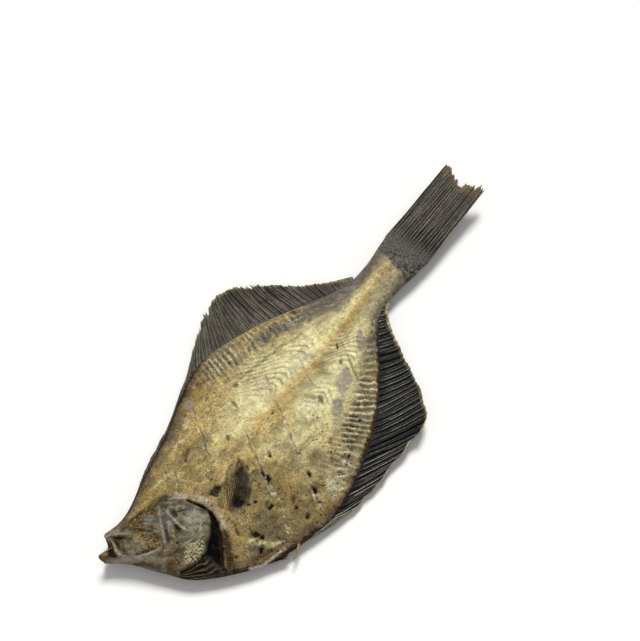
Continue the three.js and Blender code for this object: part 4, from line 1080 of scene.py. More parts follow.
beyond_iris = add_node(tree, "ShaderNodeMapRange",
                       {"Value": radius.outputs["Fac"], "From Min": IRIS_SHARE[0],
                        "From Max": IRIS_SHARE[1]})
beyond_pupil = add_node(tree, "ShaderNodeMapRange",
                        {"Value": radius.outputs["Fac"], "From Min": PUPIL_SHARE[0],
                         "From Max": PUPIL_SHARE[1]})
centre = add_node(tree, "ShaderNodeMix",
                  {0: beyond_pupil.outputs["Result"], 6: pupil.outputs[2], 7: iris.outputs[2]},
                  data_type="RGBA")
eyeball = add_node(tree, "ShaderNodeMix",
                   {0: beyond_iris.outputs["Result"], 6: centre.outputs[2], 7: white.outputs[2]},
                   data_type="RGBA")
tree.links.new(eyeball.outputs[2], shader.inputs["Base Color"])
shader.inputs["Roughness"].default_value = 0.5
radial, drop_mm = spline(EYE_PROFILE, np.linspace(0, 1, EYE_STEPS)).T
turn = np.linspace(0, 2 * np.pi, EYE_AROUND, endpoint=False)[None, :]
flat = np.zeros_like(turn)
for number, (ex, ey, radius_mm) in enumerate(EYES):
    nearest = np.argmin((under_x - ex) ** 2 + (under_y - ey) ** 2)
    reach = radial[:, None] * radius_mm * EYE_SHARE
    eye_rings = np.stack([ex + reach * np.cos(turn), ey - reach * np.sin(turn),
                          lower.flat[nearest] + drop_mm[:, None] + flat], -1)
    points, faces = loft(eye_rings)
    eye = add_mesh("eye_%d" % (number + 1), points, faces, [eye_finish])
    add_mask(eye, "eye_radius", radial[:, None] + flat)
    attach(eye, "root")

# The back fin and the anal fin: thin dark skin stretched over soft rays, one to each rib, and dried into
# pleats. They grow out of the body's two edges, and their outer edge is torn and bleached.

# Along each fin: x on the edge, length of the ray, its lean from +X in degrees, lift of its tip.
BACK_FIN = np.array([
    (32, 3, 34, 0), (38, 7, 32, -0.8), (62, 10, 31, -1.8), (86, 15, 36, -2.2), (108, 22, 55, -0.5),
    (128, 24, 80, 2.0), (146, 21, 92, 3.0), (162, 10, 92, 1.0), (179, 2, 60, 0),
], float)
ANAL_FIN = np.array([
    (58, 3, -24, 0), (64, 10, -23, -1.4), (84, 18, -23, -2.0), (104, 26, -28, 0.5), (116, 29.5, -31, 2.5),
    (130, 24, -29, 1.5), (143, 17, -31, -0.5), (158, 9, -40, 1.5), (179, 2, -40, 0),
], float)
# Columns of the cross-lines that the fins start from.
BACK_COLUMN = 0
BELLY_COLUMN = 2
RIM_COLUMN = 4
BACK_SEED = 500
ANAL_SEED = 600
LEAN_SPREAD = 0.8
LENGTH_SPREAD = 0.012
FIN_ROOT = 1.4
FIN_THICK = (0.9, 0.24)
COLUMNS_PER_RAY = 9
FIN_ROWS = 30
back_edge_x = spline(STATIONS[:, BACK_COLUMN], dense)
first_ray = np.interp(BACK_FIN[0, 0], back_edge_x, middle_x)
last_ray = np.interp(BACK_FIN[-1, 0], back_edge_x, middle_x)
RAY_COUNT = round((last_ray - first_ray) / RAY_PITCH)


def fin_frame(rows, edge, ray):
    at = np.interp(first_ray + (ray + 0.5) / RAY_COUNT * (last_ray - first_ray), middle_x, dense)
    base_x = spline(STATIONS[:, edge], at)
    base_y = spline(STATIONS[:, edge + 1], at)
    key_x = spline(rows[:, 0], dense)
    length, turn, lift = (np.interp(base_x, key_x, spline(rows[:, k], dense)) for k in (1, 2, 3))
    return base_x, base_y, spline(STATIONS[:, RIM_COLUMN], at), length, np.radians(turn), lift


def draws_along(ray, seed, count):
    draw = np.random.default_rng(seed).normal(0, 1, (count, RAY_COUNT + 4))
    return [np.interp(ray, np.arange(RAY_COUNT + 4) - 1.5, d) for d in draw]


def fin_points(rows, edge, ray, out, seed):
    lean_draw, length_draw, fold_draw, bend_draw = draws_along(ray, seed, 4)
    base_x, base_y, rim_z, length, turn, lift = fin_frame(rows, edge, ray)
    turn = turn + math.radians(LEAN_SPREAD) * lean_draw * smooth(4, 12, length)
    length = length * (1 + LENGTH_SPREAD * length_draw)
    bend = np.radians(4 + 1.2 * bend_draw) * -np.sign(rows[0, 2]) * out
    reach = out * length - FIN_ROOT * (1 - out)
    px = base_x + reach * np.cos(turn + bend)
    py = base_y + reach * np.sin(turn + bend)
    grown = smooth(0, 10, length) * smooth(0.0, 0.14, out)
    fold = 0.4 * fold_draw * grown + 0.7 * noise(px, py, 13, seed + 5) * grown
    return np.stack([px, py, rim_z + lift * np.maximum(out, 0) ** 1.5 + fold], -1), grown


def pleat_wave(ray):
    part = ray % 1
    return np.where(part < 0.66, 1 - smooth(0, 0.66, part), smooth(0.66, 1, part))


def sheet_rings(points, half_thick):
    lift = np.zeros_like(points)
    lift[..., 2] = half_thick
    return np.concatenate([points + lift, (points - lift)[:, ::-1]], 1)


def fin_sheet(rows, edge, seed, doubled, tears, pleat):
    rays = np.linspace(-0.5, RAY_COUNT - 0.5, 2000)
    base = fin_frame(rows, edge, rays)[0]
    low, high = np.interp(rows[[0, -1], 0], base, rays)
    ray = np.linspace(low, high, int((high - low) * COLUMNS_PER_RAY))[:, None]
    crest = pleat_wave(ray) * (1 - 0.5 * doubled) + 0.5 * doubled * pleat_wave(2 * ray)
    deep = np.clip(1 + 0.35 * draws_along(np.floor(ray), seed + 9, 1)[0], 0.35, 1.7)
    tatter = np.random.default_rng(seed + 1).uniform(0, 1, len(ray))[:, None]
    torn = tears * smooth(0.25, 0.7, noise(ray * 2.0, np.full_like(ray, 3.0), 7, seed + 2))
    end = 1 - (0.004 + 0.12 * torn) * (1 - crest) - (0.006 + 0.02 * torn) * tatter
    share_out = np.linspace(0, 1, FIN_ROWS + 1)[None, :]
    out = share_out * end
    points, grown = fin_points(rows, edge, ray, out, seed)
    points[..., 2] += pleat * deep * grown * (crest - 0.5)
    half = (FIN_THICK[0] + (FIN_THICK[1] - FIN_THICK[0]) * smooth(0, 0.6, share_out)) / 2
    rings = sheet_rings(points, half * np.ones_like(out))
    if edge == BACK_COLUMN:
        rings = rings[:, ::-1]
    length = fin_frame(rows, edge, ray)[3]
    grazing = 1 + 1.2 * (1 - smooth(86, 118, points[..., 0]))
    fray_at = (1 - share_out) * length / grazing + 0.6 * noise(ray * 2.7, share_out * 9, 2.0, seed + 3)
    fray = smooth(1.5, 0.3, fray_at)
    fray = fray * np.clip(0.75 + 0.8 * noise(ray * 1.3, np.full_like(ray, 7.0), 9, seed + 6), 0.2, 1)
    layers = {"fray": fray, "crest": crest**3 * np.ones_like(out), "root": 1 - smooth(0.0, 0.09, out),
              "stain": np.maximum(smooth(-0.2, 0.5, noise(points[..., 0], points[..., 1], 16, seed + 4)),
                                  1 - smooth(76, 96, points[..., 0])),
              "ray": ray * np.ones_like(out), "out": out * length}
    return rings, (low, high), layers


# Fin skin dries almost black with a horny shine, and bleaches to straw as it frays. It is painted paler
# along the pleat crests over the rays, a painted highlight. Its grain and fibres are drawn coarser than
# real ones, so that they show.
FIN_GRAIN = 0.6
FIN_MOTTLE = 7
FIBRES_PER_RAY = 3.4
FIBRE_LENGTH = 9


def fin_skin(name, dark, light, straw, root, stain):
    material, tree, shader = new_material(name)
    place = add_node(tree, "ShaderNodeTexCoord").outputs["Object"]
    grain = add_node(tree, "ShaderNodeTexNoise",
                     {"Vector": place, "Scale": 1 / (FIN_GRAIN * MM), "Detail": 4.0})
    mottle = add_node(tree, "ShaderNodeTexNoise",
                      {"Vector": place, "Scale": 1 / (FIN_MOTTLE * MM), "Detail": 6.0, "Roughness": 0.65})
    crest = add_node(tree, "ShaderNodeAttribute", attribute_name="crest")
    ray = add_node(tree, "ShaderNodeAttribute", attribute_name="ray")
    out = add_node(tree, "ShaderNodeAttribute", attribute_name="out")
    across = add_node(tree, "ShaderNodeMath", {0: ray.outputs["Fac"], 1: FIBRES_PER_RAY},
                      operation="MULTIPLY")
    down = add_node(tree, "ShaderNodeMath", {0: out.outputs["Fac"], 1: 1 / FIBRE_LENGTH},
                    operation="MULTIPLY")
    along = add_node(tree, "ShaderNodeCombineXYZ", {"X": across.outputs[0], "Y": down.outputs[0]})
    fibre = add_node(tree, "ShaderNodeTexNoise",
                     {"Vector": along.outputs["Vector"], "Scale": 1.0, "Detail": 3.0, "Roughness": 0.6},
                     noise_dimensions="2D")
    lit = add_node(tree, "ShaderNodeMath", {0: crest.outputs["Fac"], 1: 0.5, 2: mottle.outputs["Fac"]},
                   operation="MULTIPLY_ADD")
    lit = add_node(tree, "ShaderNodeMath", {0: fibre.outputs["Fac"], 1: 1.4, 2: lit.outputs[0]},
                   operation="MULTIPLY_ADD")
    lit = add_node(tree, "ShaderNodeMapRange", {"Value": lit.outputs[0], "From Min": 1.05, "From Max": 1.8})
    skin = add_node(tree, "ShaderNodeMix", {0: lit.outputs["Result"], 6: linear(dark), 7: linear(light)},
                    data_type="RGBA")
    worn = add_node(tree, "ShaderNodeMapRange",
                    {"Value": grain.outputs["Fac"], "From Min": 0.35, "From Max": 0.6, "To Min": 0.35,
                     "To Max": 1.0})
    for layer, colour in (("stain", stain), ("root", root), ("fray", straw)):
        spread = add_node(tree, "ShaderNodeAttribute", attribute_name=layer)
        weight = add_node(tree, "ShaderNodeMath", {0: spread.outputs["Fac"], 1: worn.outputs["Result"]},
                          operation="MULTIPLY")
        skin = add_node(tree, "ShaderNodeMix",
                        {0: weight.outputs[0], 6: skin.outputs[2], 7: linear(colour)}, data_type="RGBA")
    tone = add_node(tree, "ShaderNodeMapRange",
                    {"Value": grain.outputs["Fac"], "From Min": 0.35, "From Max": 0.65, "To Min": 0.55,
                     "To Max": 1.45})
    skin = add_node(tree, "ShaderNodeMix", {0: 1.0, 6: skin.outputs[2], 7: tone.outputs["Result"]},
                    data_type="RGBA", blend_type="MULTIPLY")
    tree.links.new(skin.outputs[2], shader.inputs["Base Color"])
    gloss = add_node(tree, "ShaderNodeMapRange",
                     {"Value": grain.outputs["Fac"], "To Min": 0.75, "To Max": 0.45})
    tree.links.new(gloss.outputs["Result"], shader.inputs["Roughness"])
    shader.inputs["Specular IOR Level"].default_value = 0.16
    fibre_bump = add_node(tree, "ShaderNodeBump",
                          {"Height": fibre.outputs["Fac"], "Strength": 0.7, "Distance": 0.35 * MM})
    bump = add_node(tree, "ShaderNodeBump",
                    {"Height": grain.outputs["Fac"], "Strength": 0.5, "Distance": 0.2 * MM,
                     "Normal": fibre_bump.outputs["Normal"]})
    tree.links.new(bump.outputs["Normal"], shader.inputs["Normal"])
    return material


# Rays are horn: thin rods, slightly shiny, mottled in two tones, and nearly black where they are soaked.
# Each fin's horn has tones of its own.
RAY_GRAIN = 0.9
RAY_SOAKED = "#1d1911"


def ray_horn(name, dark, light):
    material, tree, shader = new_material(name)
    place = add_node(tree, "ShaderNodeTexCoord").outputs["Object"]
    grain = add_node(tree, "ShaderNodeTexNoise",
                     {"Vector": place, "Scale": 1 / (RAY_GRAIN * MM), "Detail": 4.0})
    shade = add_node(tree, "ShaderNodeMapRange",
                     {"Value": grain.outputs["Fac"], "From Min": 0.3, "From Max": 0.7})
    horn = add_node(tree, "ShaderNodeMix", {0: shade.outputs["Result"], 6: linear(dark), 7: linear(light)},
                    data_type="RGBA")
    soaked = add_node(tree, "ShaderNodeAttribute", attribute_name="soaked")
    horn = add_node(tree, "ShaderNodeMix",
                    {0: soaked.outputs["Fac"], 6: horn.outputs[2], 7: linear(RAY_SOAKED)}, data_type="RGBA")
    tree.links.new(horn.outputs[2], shader.inputs["Base Color"])
    shader.inputs["Roughness"].default_value = 0.5
    shader.inputs["Specular IOR Level"].default_value = 0.25
    bump = add_node(tree, "ShaderNodeBump",
                    {"Height": grain.outputs["Fac"], "Strength": 0.4, "Distance": 0.1 * MM})
    tree.links.new(bump.outputs["Normal"], shader.inputs["Normal"])
    return material


# One tree grows every ray: each line of points becomes a rod as thick as its taper says. The number of
# sides, the girth and the finish are its inputs, so that all the fins share it.
ray_tree = bpy.data.node_groups.new("ray_rods", "GeometryNodeTree")
ray_tree.interface.new_socket("Lines", in_out="INPUT", socket_type="NodeSocketGeometry")
ray_sides = ray_tree.interface.new_socket("Sides", in_out="INPUT", socket_type="NodeSocketInt")
ray_girth = ray_tree.interface.new_socket("Girth", in_out="INPUT", socket_type="NodeSocketFloat")
ray_finish = ray_tree.interface.new_socket("Finish", in_out="INPUT", socket_type="NodeSocketMaterial")
ray_tree.interface.new_socket("Rods", in_out="OUTPUT", socket_type="NodeSocketGeometry")
given = add_node(ray_tree, "NodeGroupInput")
curves = add_node(ray_tree, "GeometryNodeMeshToCurve", {"Mesh": given.outputs["Lines"]})
profile = add_node(ray_tree, "GeometryNodeCurvePrimitiveCircle",
                   {"Resolution": given.outputs["Sides"], "Radius": given.outputs["Girth"]})
taper = add_node(ray_tree, "GeometryNodeInputNamedAttribute", {"Name": "taper"}, data_type="FLOAT")
rods = add_node(ray_tree, "GeometryNodeCurveToMesh",
                {"Curve": curves.outputs["Curve"], "Profile Curve": profile.outputs["Curve"],
                 "Scale": taper.outputs["Attribute"], "Fill Caps": True})
whole = add_node(ray_tree, "GeometryNodeRealizeInstances", {"Geometry": rods.outputs["Mesh"]})
dressed = add_node(ray_tree, "GeometryNodeSetMaterial",
                   {"Geometry": whole.outputs["Geometry"], "Material": given.outputs["Finish"]})
add_node(ray_tree, "NodeGroupOutput", {"Rods": dressed.outputs["Geometry"]})
RAY_SIDES = 6


def grow_rays(name, lines, tapers, girth, finish, soaked=0.0):
    ends = np.cumsum([len(line) for line in lines])
    edges = [(k, k + 1) for end, line in zip(ends, lines) for k in range(end - len(line), end - 1)]
    mesh = bpy.data.meshes.new(name)
    mesh.from_pydata(to_frame(np.concatenate(lines)).tolist(), edges, [])
    rays = bpy.data.objects.new(name, mesh)
    bpy.context.scene.collection.objects.link(rays)
    add_mask(rays, "taper", np.concatenate(tapers))
    add_mask(rays, "soaked", np.broadcast_to(soaked, ends[-1]))
    modifier = rays.modifiers.new("grow", "NODES")
    modifier.node_group = ray_tree
    for socket, value in ((ray_sides, RAY_SIDES), (ray_girth, girth * MM), (ray_finish, finish)):
        modifier[socket.identifier] = value
    grown = rays.evaluated_get(bpy.context.evaluated_depsgraph_get())
    rods = bpy.data.meshes.new_from_object(grown)
    rods.shade_smooth()
    rays.modifiers.remove(modifier)
    rays.data = rods
    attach(rays, "root")


def finish_sheet(name, rings, layers, material):
    points, faces = loft(rings)
    sheet = add_mesh(name, points, faces, [material])
    for layer, values in layers.items():
        add_mask(sheet, layer, np.concatenate([values, values[:, ::-1]], 1))
    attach(sheet, "root")


RAY_GIRTH = 0.25
RAY_STEPS = 16
RAY_PROUD = 0.1
BETWEEN_CREST = 0.26
anal_skin = fin_skin("dried_fin_skin_black", "#040404", "#313230", "#b3a577", "#2c231e", "#1b1c1b")
back_skin = fin_skin("dried_fin_skin_grey", "#292620", "#7a7567", "#94875f", "#564d3d", "#3b372f")
dark_horn = ray_horn("dried_ray_horn_grey", "#474743", "#b4b1a4")
brown_horn = ray_horn("dried_ray_horn_brown", "#453f34", "#847d6b")
for fin, rows, edge, seed, skin, horn, doubled, tears, pleat in [
        ("back_fin", BACK_FIN, BACK_COLUMN, BACK_SEED, back_skin, brown_horn, 0.9, 1.0, 0.8),
        ("anal_fin", ANAL_FIN, BELLY_COLUMN, ANAL_SEED, anal_skin, dark_horn, 0.45, 0.12, 1.2)]:
    rings, (low, high), layers = fin_sheet(rows, edge, seed, doubled, tears, pleat)
    finish_sheet(fin, rings, layers, skin)
    lines, tapers = [], []
    ray_draw = np.random.default_rng(seed + 7).uniform(0.45, 1.15, 2 * RAY_COUNT + 4)
    for half_ray in range(math.ceil(2 * low), math.floor(2 * high) + 1):
        out = np.linspace(0.02, 0.995, RAY_STEPS)
        between = half_ray % 2
        points, grown = fin_points(rows, edge, np.full(RAY_STEPS, half_ray / 2), out, seed)
        single = 1 - 0.5 * doubled
        crest = (1 - between) * single + 0.5 * doubled + BETWEEN_CREST * between * single
        points[:, 2] += pleat * grown * (crest - 0.5) + RAY_PROUD
        lines.append(points)
        tapers.append((1 - 0.6 * out) * (1 - 0.55 * between) * ray_draw[half_ray])
    grow_rays(fin + "_rays", lines, tapers, RAY_GIRTH, horn)

# The hem of the anal fin: along the front of its outer edge the skin has rolled up on itself and dried to a
# pale, hard cord. It starts one ray behind the fin's front end, which is what low still says here.
HEM_GIRTH = 0.34
HEM_STEPS = 160
HEM_END = 118
HEM_OUT = 0.985
HEM_PROUD = 0.25
ray_numbers = np.arange(RAY_COUNT)
hem_last = np.interp(HEM_END, fin_frame(ANAL_FIN, BELLY_COLUMN, ray_numbers)[0], ray_numbers)
hem_ray = np.linspace(low + 1, hem_last, HEM_STEPS)
hem_line = fin_points(ANAL_FIN, BELLY_COLUMN, hem_ray, np.full(HEM_STEPS, HEM_OUT), ANAL_SEED)[0]
hem_line[:, 2] += HEM_PROUD
hem_step = np.arange(HEM_STEPS)
hem_taper = np.clip(0.75 + 0.5 * noise(hem_ray * 2.3, np.zeros_like(hem_ray), 3, 655), 0.3, 1.2)
hem_taper = hem_taper * smooth(0, 12, hem_step) * (1 - 0.6 * smooth(130, HEM_STEPS, hem_step))
straw_hem = ray_horn("dried_fin_hem", "#7d7152", "#c9bd92")
grow_rays("anal_fin_hem", [hem_line], [hem_taper], HEM_GIRTH, straw_hem)

# The tail fin: seventeen rays that fork towards the end, dried half shut so that the skin between them is
# folded into narrow pleats. It grows out of the dark tail root, and its end is broken and ragged.
TAIL_ROOT = 198.0
TAIL_RAYS = 17
TAIL_WIDTH_AT = [198, 208, 260]
TAIL_BACK_HALF = [11.2, 13.0, 12.6]
TAIL_BELLY_HALF = [10.2, 11.9, 11.6]
TAIL_TIPS = [260, 258.5, 255.5, 252.5, 255, 258, 259.6]
TAIL_LIFT = 4.5
TAIL_THICK = (1.6, 0.45)
TAIL_PLEAT = 1.3
TAIL_FORK = 0.42
PLEATED = (0.12, 0.32)
TAIL_ROWS = 80
TAIL_COLUMNS = 12
TAIL_LENGTH = 56
TAIL_RAY_GIRTH = 0.32
TAIL_RAY_STEPS = 22
tail_root_z = STATIONS[-1, RIM_COLUMN]


def tail_points(ray, out):
    draw = np.random.default_rng(700).normal(0, 1, (3, TAIL_RAYS))
    side_draw, tip_draw, fold_draw = [np.interp(ray, np.arange(TAIL_RAYS), d) for d in draw]
    across = ray / (TAIL_RAYS - 1)
    tip = spline(TAIL_TIPS, across) + 0.6 * tip_draw
    px = TAIL_ROOT + (tip - TAIL_ROOT) * out
    ray = ray + 0.5 * noise(ray * 1.7, px * 0.05, 2.5, 761) * smooth(0.15, 0.4, out)
    across = np.clip(ray / (TAIL_RAYS - 1), 0, 1)
    back = np.interp(px, TAIL_WIDTH_AT, TAIL_BACK_HALF)
    belly = np.interp(px, TAIL_WIDTH_AT, TAIL_BELLY_HALF)
    swerve = 0.3 * side_draw * smooth(0.15, 0.7, out) * (1 - (2 * across - 1) ** 4)
    py = back - across * (back + belly) + swerve
    bow = 1.3 * (1 - (2 * across - 1) ** 2) * (1 - 0.6 * out)
    pz = tail_root_z - 0.7 + TAIL_LIFT * np.clip(out, 0, 1) ** 2 + bow
    pz = pz + (0.4 * fold_draw + 0.5 * noise(px, py, 17, 705)) * smooth(0.1, 0.45, out)
    return np.stack([px, py, pz], -1)


def fork_open(out):
    return smooth(TAIL_FORK - 0.1, TAIL_FORK + 0.25, out)


def tail_fold(ray, out):
    opened = fork_open(out)
    return pleat_wave(ray) * (1 - 0.4 * opened) + 0.4 * opened * pleat_wave(2 * ray)


ray = np.linspace(0, TAIL_RAYS - 1, (TAIL_RAYS - 1) * TAIL_COLUMNS + 1)[:, None]
share_out = np.linspace(0, 1, TAIL_ROWS + 1)[None, :]
tatter = np.random.default_rng(711).uniform(0, 1, len(ray))[:, None]
split = np.clip(noise(ray * 3.1, np.full_like(ray, 1.5), 4, 721), 0, 1)
tail_end = 1 - 0.012 * tatter - 0.05 * split - 0.012 * (1 - tail_fold(ray, np.ones_like(ray)))
out = share_out * tail_end
fold = tail_fold(ray, out)
points = tail_points(ray, out)
points[..., 2] += TAIL_PLEAT * (fold - 0.5) * smooth(*PLEATED, out) * (1 - 0.35 * out)
half = (TAIL_THICK[0] + (TAIL_THICK[1] - TAIL_THICK[0]) * smooth(0.1, 0.6, share_out)) / 2
rings = sheet_rings(points, half * np.ones_like(out))
layers = {
    "fray": smooth(8, 0.5, (1 - share_out) * TAIL_LENGTH + 5 * noise(ray * 2.0, share_out * 12, 2.0, 731)),
    "crest": fold**2 * smooth(*PLEATED, out),
    "ray": ray * 1.6 * np.ones_like(out),
    "out": points[..., 0] * 0.7,
    "root": 1 - smooth(0.2, 0.46, out + 0.1 * noise(points[..., 0], points[..., 1], 4, 741)),
    "stain": smooth(-0.1, 0.7, noise(points[..., 0] * 0.3, points[..., 1], 4, 751)),
}
tail_skin = fin_skin("dried_tail_skin", "#12100e", "#77726a", "#8a7550", "#5a5750", "#2e2a26")
finish_sheet("tail_fin", rings, layers, tail_skin)
tail_horn = ray_horn("dried_tail_ray_horn", "#4a443b", "#a59d8c")
tail_draw = np.random.default_rng(771).uniform(0.35, 1.0, (TAIL_RAYS, 2))
lines, tapers = [], []
for number in range(TAIL_RAYS):
    for branch in (0, 1):
        steps = np.linspace(0.2, 0.955, TAIL_RAY_STEPS)
        on_ray = np.clip(number + branch * (0.1 + 0.38 * fork_open(steps)), 0, TAIL_RAYS - 1)
        line = tail_points(on_ray, steps)
        line[:, 2] += TAIL_PLEAT * (tail_fold(on_ray, steps) - 0.5) * smooth(*PLEATED, steps)
        line[:, 2] += np.interp(steps, [0.1, 0.6], TAIL_THICK) / 2 - 0.08
        lines.append(line)
        begins = smooth(0.22, 0.5, steps) if branch == 0 else 0.7 * smooth(0.3, 0.5, steps) + 0.01
        tapers.append(begins * (1 - 0.35 * steps) * tail_draw[number, branch])
grow_rays("tail_rays", lines, tapers, TAIL_RAY_GIRTH, tail_horn)

# The breast fins: one lies pressed on each side behind the gill opening, a leaf of thin rays. On the blind
# side the rays have dried straight onto the skin; on the eyed side a dark skin still spans them.
BREAST_RAYS = 17
BREAST_ROWS = 30
BREAST_COLUMNS = 4
BREAST_LENGTH = 22
BREAST_THICK = 0.3
BREAST_RAY_GIRTH = 0.24
BREAST_RAY_STEPS = 18
BREAST_FRONT = 40
BREAST_REAR = 80
BREAST_TOP = 2
SOFTEN = [(0, 0), (1.2, 0), (-1.2, 0), (0, 1.2), (0, -1.2)]


def body_height(px, py, upper):
    surface = (blind_ring if upper else eyed_side).reshape(-1, 3)
    side_x, side_y = surface[:, 0], surface[:, 1]
    near = surface[(side_x > BREAST_FRONT) & (side_x < BREAST_REAR) & (side_y < BREAST_TOP)]
    spots = [(px + dx, py + dy) for dx, dy in SOFTEN]
    found = [[near[np.argmin((near[:, 0] - a) ** 2 + (near[:, 1] - b) ** 2), 2]
              for a, b in zip(np.ravel(sx), np.ravel(sy))] for sx, sy in spots]
    return np.mean(found, 0).reshape(np.shape(px))


def breast_points(ray, out, upper):
    share = ray / (BREAST_RAYS - 1)
    flat = spline(BREAST_ROOTS, share) * (1 - out[..., None]) + spline(BREAST_TIPS, share) * out[..., None]
    bow = (3.4 * share - 1.0) * np.sin(np.pi * out)
    px = flat[..., 0] + 0.55 * bow + 0.2 * noise(ray * 3, out * 4, 2, 811)
    py = flat[..., 1] - 0.83 * bow + 0.35 * noise(ray * 3, out * 3, 2, 821)
    proud = 0.12 + 0.1 * noise(px, py, 3, 801)
    pz = body_height(px, py, upper) + (proud if upper else -proud - BREAST_THICK / 2)
    return np.stack([px, py, np.maximum(pz, BREAST_THICK)], -1)


ray = np.linspace(0, BREAST_RAYS - 1, (BREAST_RAYS - 1) * BREAST_COLUMNS + 1)[:, None]
out = np.linspace(0, 1, BREAST_ROWS)[None, :] * (1 - 0.06 * (1 - pleat_wave(ray)))
points = breast_points(ray, out, False)
layers = {"fray": smooth(0.75, 1.0, out), "crest": pleat_wave(ray) * np.ones_like(out),
          "root": 1 - smooth(0.05, 0.3, out), "stain": np.zeros_like(out), "ray": ray * np.ones_like(out),
          "out": BREAST_LENGTH * out}
breast_skin = fin_skin("dried_breast_fin_skin", "#121211", "#45443c", "#6d6650", "#2a2a26", "#1c1b19")
finish_sheet("eyed_breast_fin", sheet_rings(points, BREAST_THICK / 2), layers, breast_skin)
blind_horn = ray_horn("dried_breast_ray_horn", "#4f4126", "#a8945f")
lengths = np.random.default_rng(841).uniform(0.8, 1.0, BREAST_RAYS)
for side, upper, horn in (("blind", True, blind_horn), ("eyed", False, dark_horn)):
    lines, tapers = [], []
    for number in range(BREAST_RAYS):
        steps = np.linspace(0.02, lengths[number], BREAST_RAY_STEPS)
        line = breast_points(np.full(BREAST_RAY_STEPS, float(number)), steps, upper)
        if not upper:
            line[:, 2] = np.maximum(line[:, 2] - BREAST_THICK / 2, 0.2)
        lines.append(line)
        from_hole = np.hypot(line[:, 0] - ROOT_HOLE[0], line[:, 1] - ROOT_HOLE[1])
        kept = smooth(1.4, 2.6, from_hole) if upper else 1.0
        tapers.append((1 - 0.6 * steps) * (3.2 * lengths[number - 1] - 2.2) * kept + 0.01)
    spots = np.concatenate(lines)
    soaked = 0.0
    if upper:
        soaked = 0.95 * breast_black(spots[:, 0], spots[:, 1])
    grow_rays(side + "_breast_fin_rays", lines, tapers, BREAST_RAY_GIRTH, horn, soaked)

# The belly fin: a strip of dark skin over five soft rays. It is rooted under the throat, folded back along
# the belly's lower edge, and has dried fast to it.
BELLY_ROOT = (37.0, -39.2)
BELLY_FAN = (-16, -35)
BELLY_LENGTH = 21.5
BELLY_RAYS = 5
BELLY_THICK = 0.6
BELLY_HEIGHT = 5.1
BELLY_ROWS = 24
BELLY_COLUMNS = 8
BELLY_SKIN_LENGTH = 20
BELLY_RAY_GIRTH = 0.4
BELLY_RAY_STEPS = 14
BELLY_RAY_PROUD = 0.22


def belly_points(ray, out):
    share = ray / (BELLY_RAYS - 1)
    turn = np.radians(BELLY_FAN[0] + (BELLY_FAN[1] - BELLY_FAN[0]) * share)
    length = BELLY_LENGTH * (1 - 0.12 * share)
    px = BELLY_ROOT[0] + length * out * np.cos(turn)
    py = BELLY_ROOT[1] + length * out * np.sin(turn) - 0.6 * share
    pz = BELLY_HEIGHT - 1.2 * share * out + 0.6 * (pleat_wave(ray) - 0.5) * smooth(0.1, 0.5, out)
    return np.stack([px, py, pz], -1)


ray = np.linspace(0, BELLY_RAYS - 1, (BELLY_RAYS - 1) * BELLY_COLUMNS + 1)[:, None]
share_out = np.linspace(0, 1, BELLY_ROWS)[None, :]
out = share_out * (1 - 0.08 * (1 - pleat_wave(ray)))
points = belly_points(ray, out)
rings = sheet_rings(points, BELLY_THICK / 2)
layers = {
    "fray": smooth(1.5, 0.2, (1 - share_out) * BELLY_SKIN_LENGTH * np.ones_like(ray)),
    "crest": pleat_wave(ray) * np.ones_like(out),
    "root": 1 - smooth(0.05, 0.3, out),
    "stain": smooth(0.2, 0.8, ray / BELLY_RAYS * np.ones_like(out)),
    "ray": 1.5 * ray * np.ones_like(out),
    "out": BELLY_SKIN_LENGTH * out,
}
belly_skin = fin_skin("dried_belly_fin_skin", "#2a211d", "#7a6658", "#8a7a54", "#6a5a48", "#1c1917")
finish_sheet("belly_fin", rings, layers, belly_skin)
lines, tapers = [], []
for number in range(BELLY_RAYS):
    steps = np.linspace(0.02, 0.99, BELLY_RAY_STEPS)
    line = belly_points(np.full(BELLY_RAY_STEPS, float(number)), steps)
    line[:, 2] += BELLY_RAY_PROUD
    lines.append(line)
    tapers.append(1 - 0.6 * steps)
grow_rays("belly_fin_rays", lines, tapers, BELLY_RAY_GIRTH, brown_horn)

# The anal spine: a thorn of bare bone, brown and dull. It grows from the first bone that carries the anal
# fin, and comes out through the skin of the belly's edge in front of it.
THORN_ROOT = np.array([60.2, -49.9, 5.6])
THORN_REACH = np.array([-7.6, -3.0, -0.4])
THORN_BOW = 0.5
THORN_GIRTH = 0.8
THORN_STEPS = 10
thorn_steps = np.linspace(0, 1, THORN_STEPS)[:, None]
thorn_line = THORN_ROOT + THORN_REACH * thorn_steps
thorn_line[:, 1] -= THORN_BOW * np.sin(np.pi * thorn_steps[:, 0])
spine_bone = ray_horn("dried_spine_bone", "#6b5a3a", "#a5946a")
grow_rays("anal_spine", [thorn_line], [1 - 0.75 * thorn_steps[:, 0]], THORN_GIRTH, spine_bone)

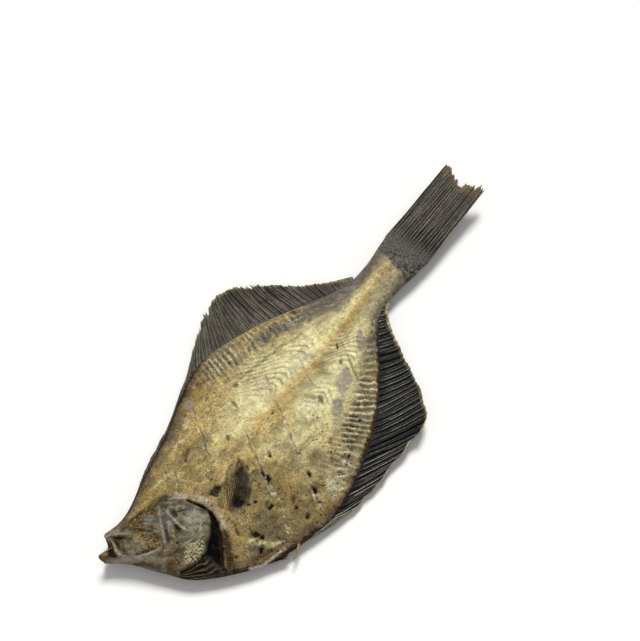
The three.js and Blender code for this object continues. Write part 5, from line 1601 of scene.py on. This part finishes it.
# The studio: a matt white table in a white room, a broad lamp behind the tail, a weak fill, and the camera
# at the photograph's viewing angle. None of it belongs to the part.
FLOOR_HALF = 3.0
FLOOR_DROP = 0.0003
floor_mesh = bpy.data.meshes.new("table")
corners = [(-1, -1), (1, -1), (1, 1), (-1, 1)]
floor_points = [(cx * FLOOR_HALF, cy * FLOOR_HALF, -FLOOR_DROP) for cx, cy in corners]
floor_mesh.from_pydata(floor_points, [], [(0, 1, 2, 3)])
table_white, tree, shader = new_material("white_table")
shader.inputs["Base Color"].default_value = linear("#f4f3f0")
shader.inputs["Roughness"].default_value = 0.8
floor_mesh.materials.append(table_white)
table = bpy.data.objects.new("table", floor_mesh)
bpy.context.scene.collection.objects.link(table)

world = bpy.data.worlds.new("white_room")
world.use_nodes = True
tree = world.node_tree
dim = tree.nodes["Background"]
dim.inputs["Color"].default_value = linear("#ffffff")
dim.inputs["Strength"].default_value = 0.36
bright = add_node(tree, "ShaderNodeBackground", {"Color": linear("#ffffff"), "Strength": 0.95})
seen = add_node(tree, "ShaderNodeLightPath")
backdrop = add_node(tree, "ShaderNodeMixShader",
                    {0: seen.outputs["Is Camera Ray"], 1: dim.outputs["Background"],
                     2: bright.outputs["Background"]})
tree.links.new(backdrop.outputs["Shader"], tree.nodes["World Output"].inputs["Surface"])
bpy.context.scene.world = world


def add_lamp(name, place, spread, strength):
    lamp = bpy.data.lights.new(name, "SUN")
    lamp.angle = math.radians(spread)
    lamp.energy = strength
    holder = bpy.data.objects.new(name, lamp)
    holder.location = place
    holder.rotation_euler = (-mathutils.Vector(place)).to_track_quat("-Z", "Y").to_euler()
    bpy.context.scene.collection.objects.link(holder)


add_lamp("key_lamp", (0.5, 0.3, 0.78), 20, 2.9)
add_lamp("fill_lamp", (-0.5, -0.4, 0.8), 60, 0.25)

VIEW_TURN = math.radians(-51.784)
VIEW_RISE = math.radians(64)
VIEW_DISTANCE = 597.86
VIEW_TARGET = (151.78, 10.36, 5.5)
VIEW_LENS = 70
VIEW_SENSOR = 36
level = math.cos(VIEW_RISE)
sight = np.array([math.sin(VIEW_TURN) * level, -math.cos(VIEW_TURN) * level, math.sin(VIEW_RISE)])
camera = bpy.data.objects.new("camera", bpy.data.cameras.new("camera"))
camera.data.lens = VIEW_LENS
camera.data.sensor_width = VIEW_SENSOR
camera.location = to_frame(VIEW_TARGET) + sight * VIEW_DISTANCE * MM
camera.rotation_euler = mathutils.Vector(-sight).to_track_quat("-Z", "Y").to_euler()
bpy.context.scene.collection.objects.link(camera)
bpy.context.scene.camera = camera
bpy.context.scene.view_settings.view_transform = "Standard"
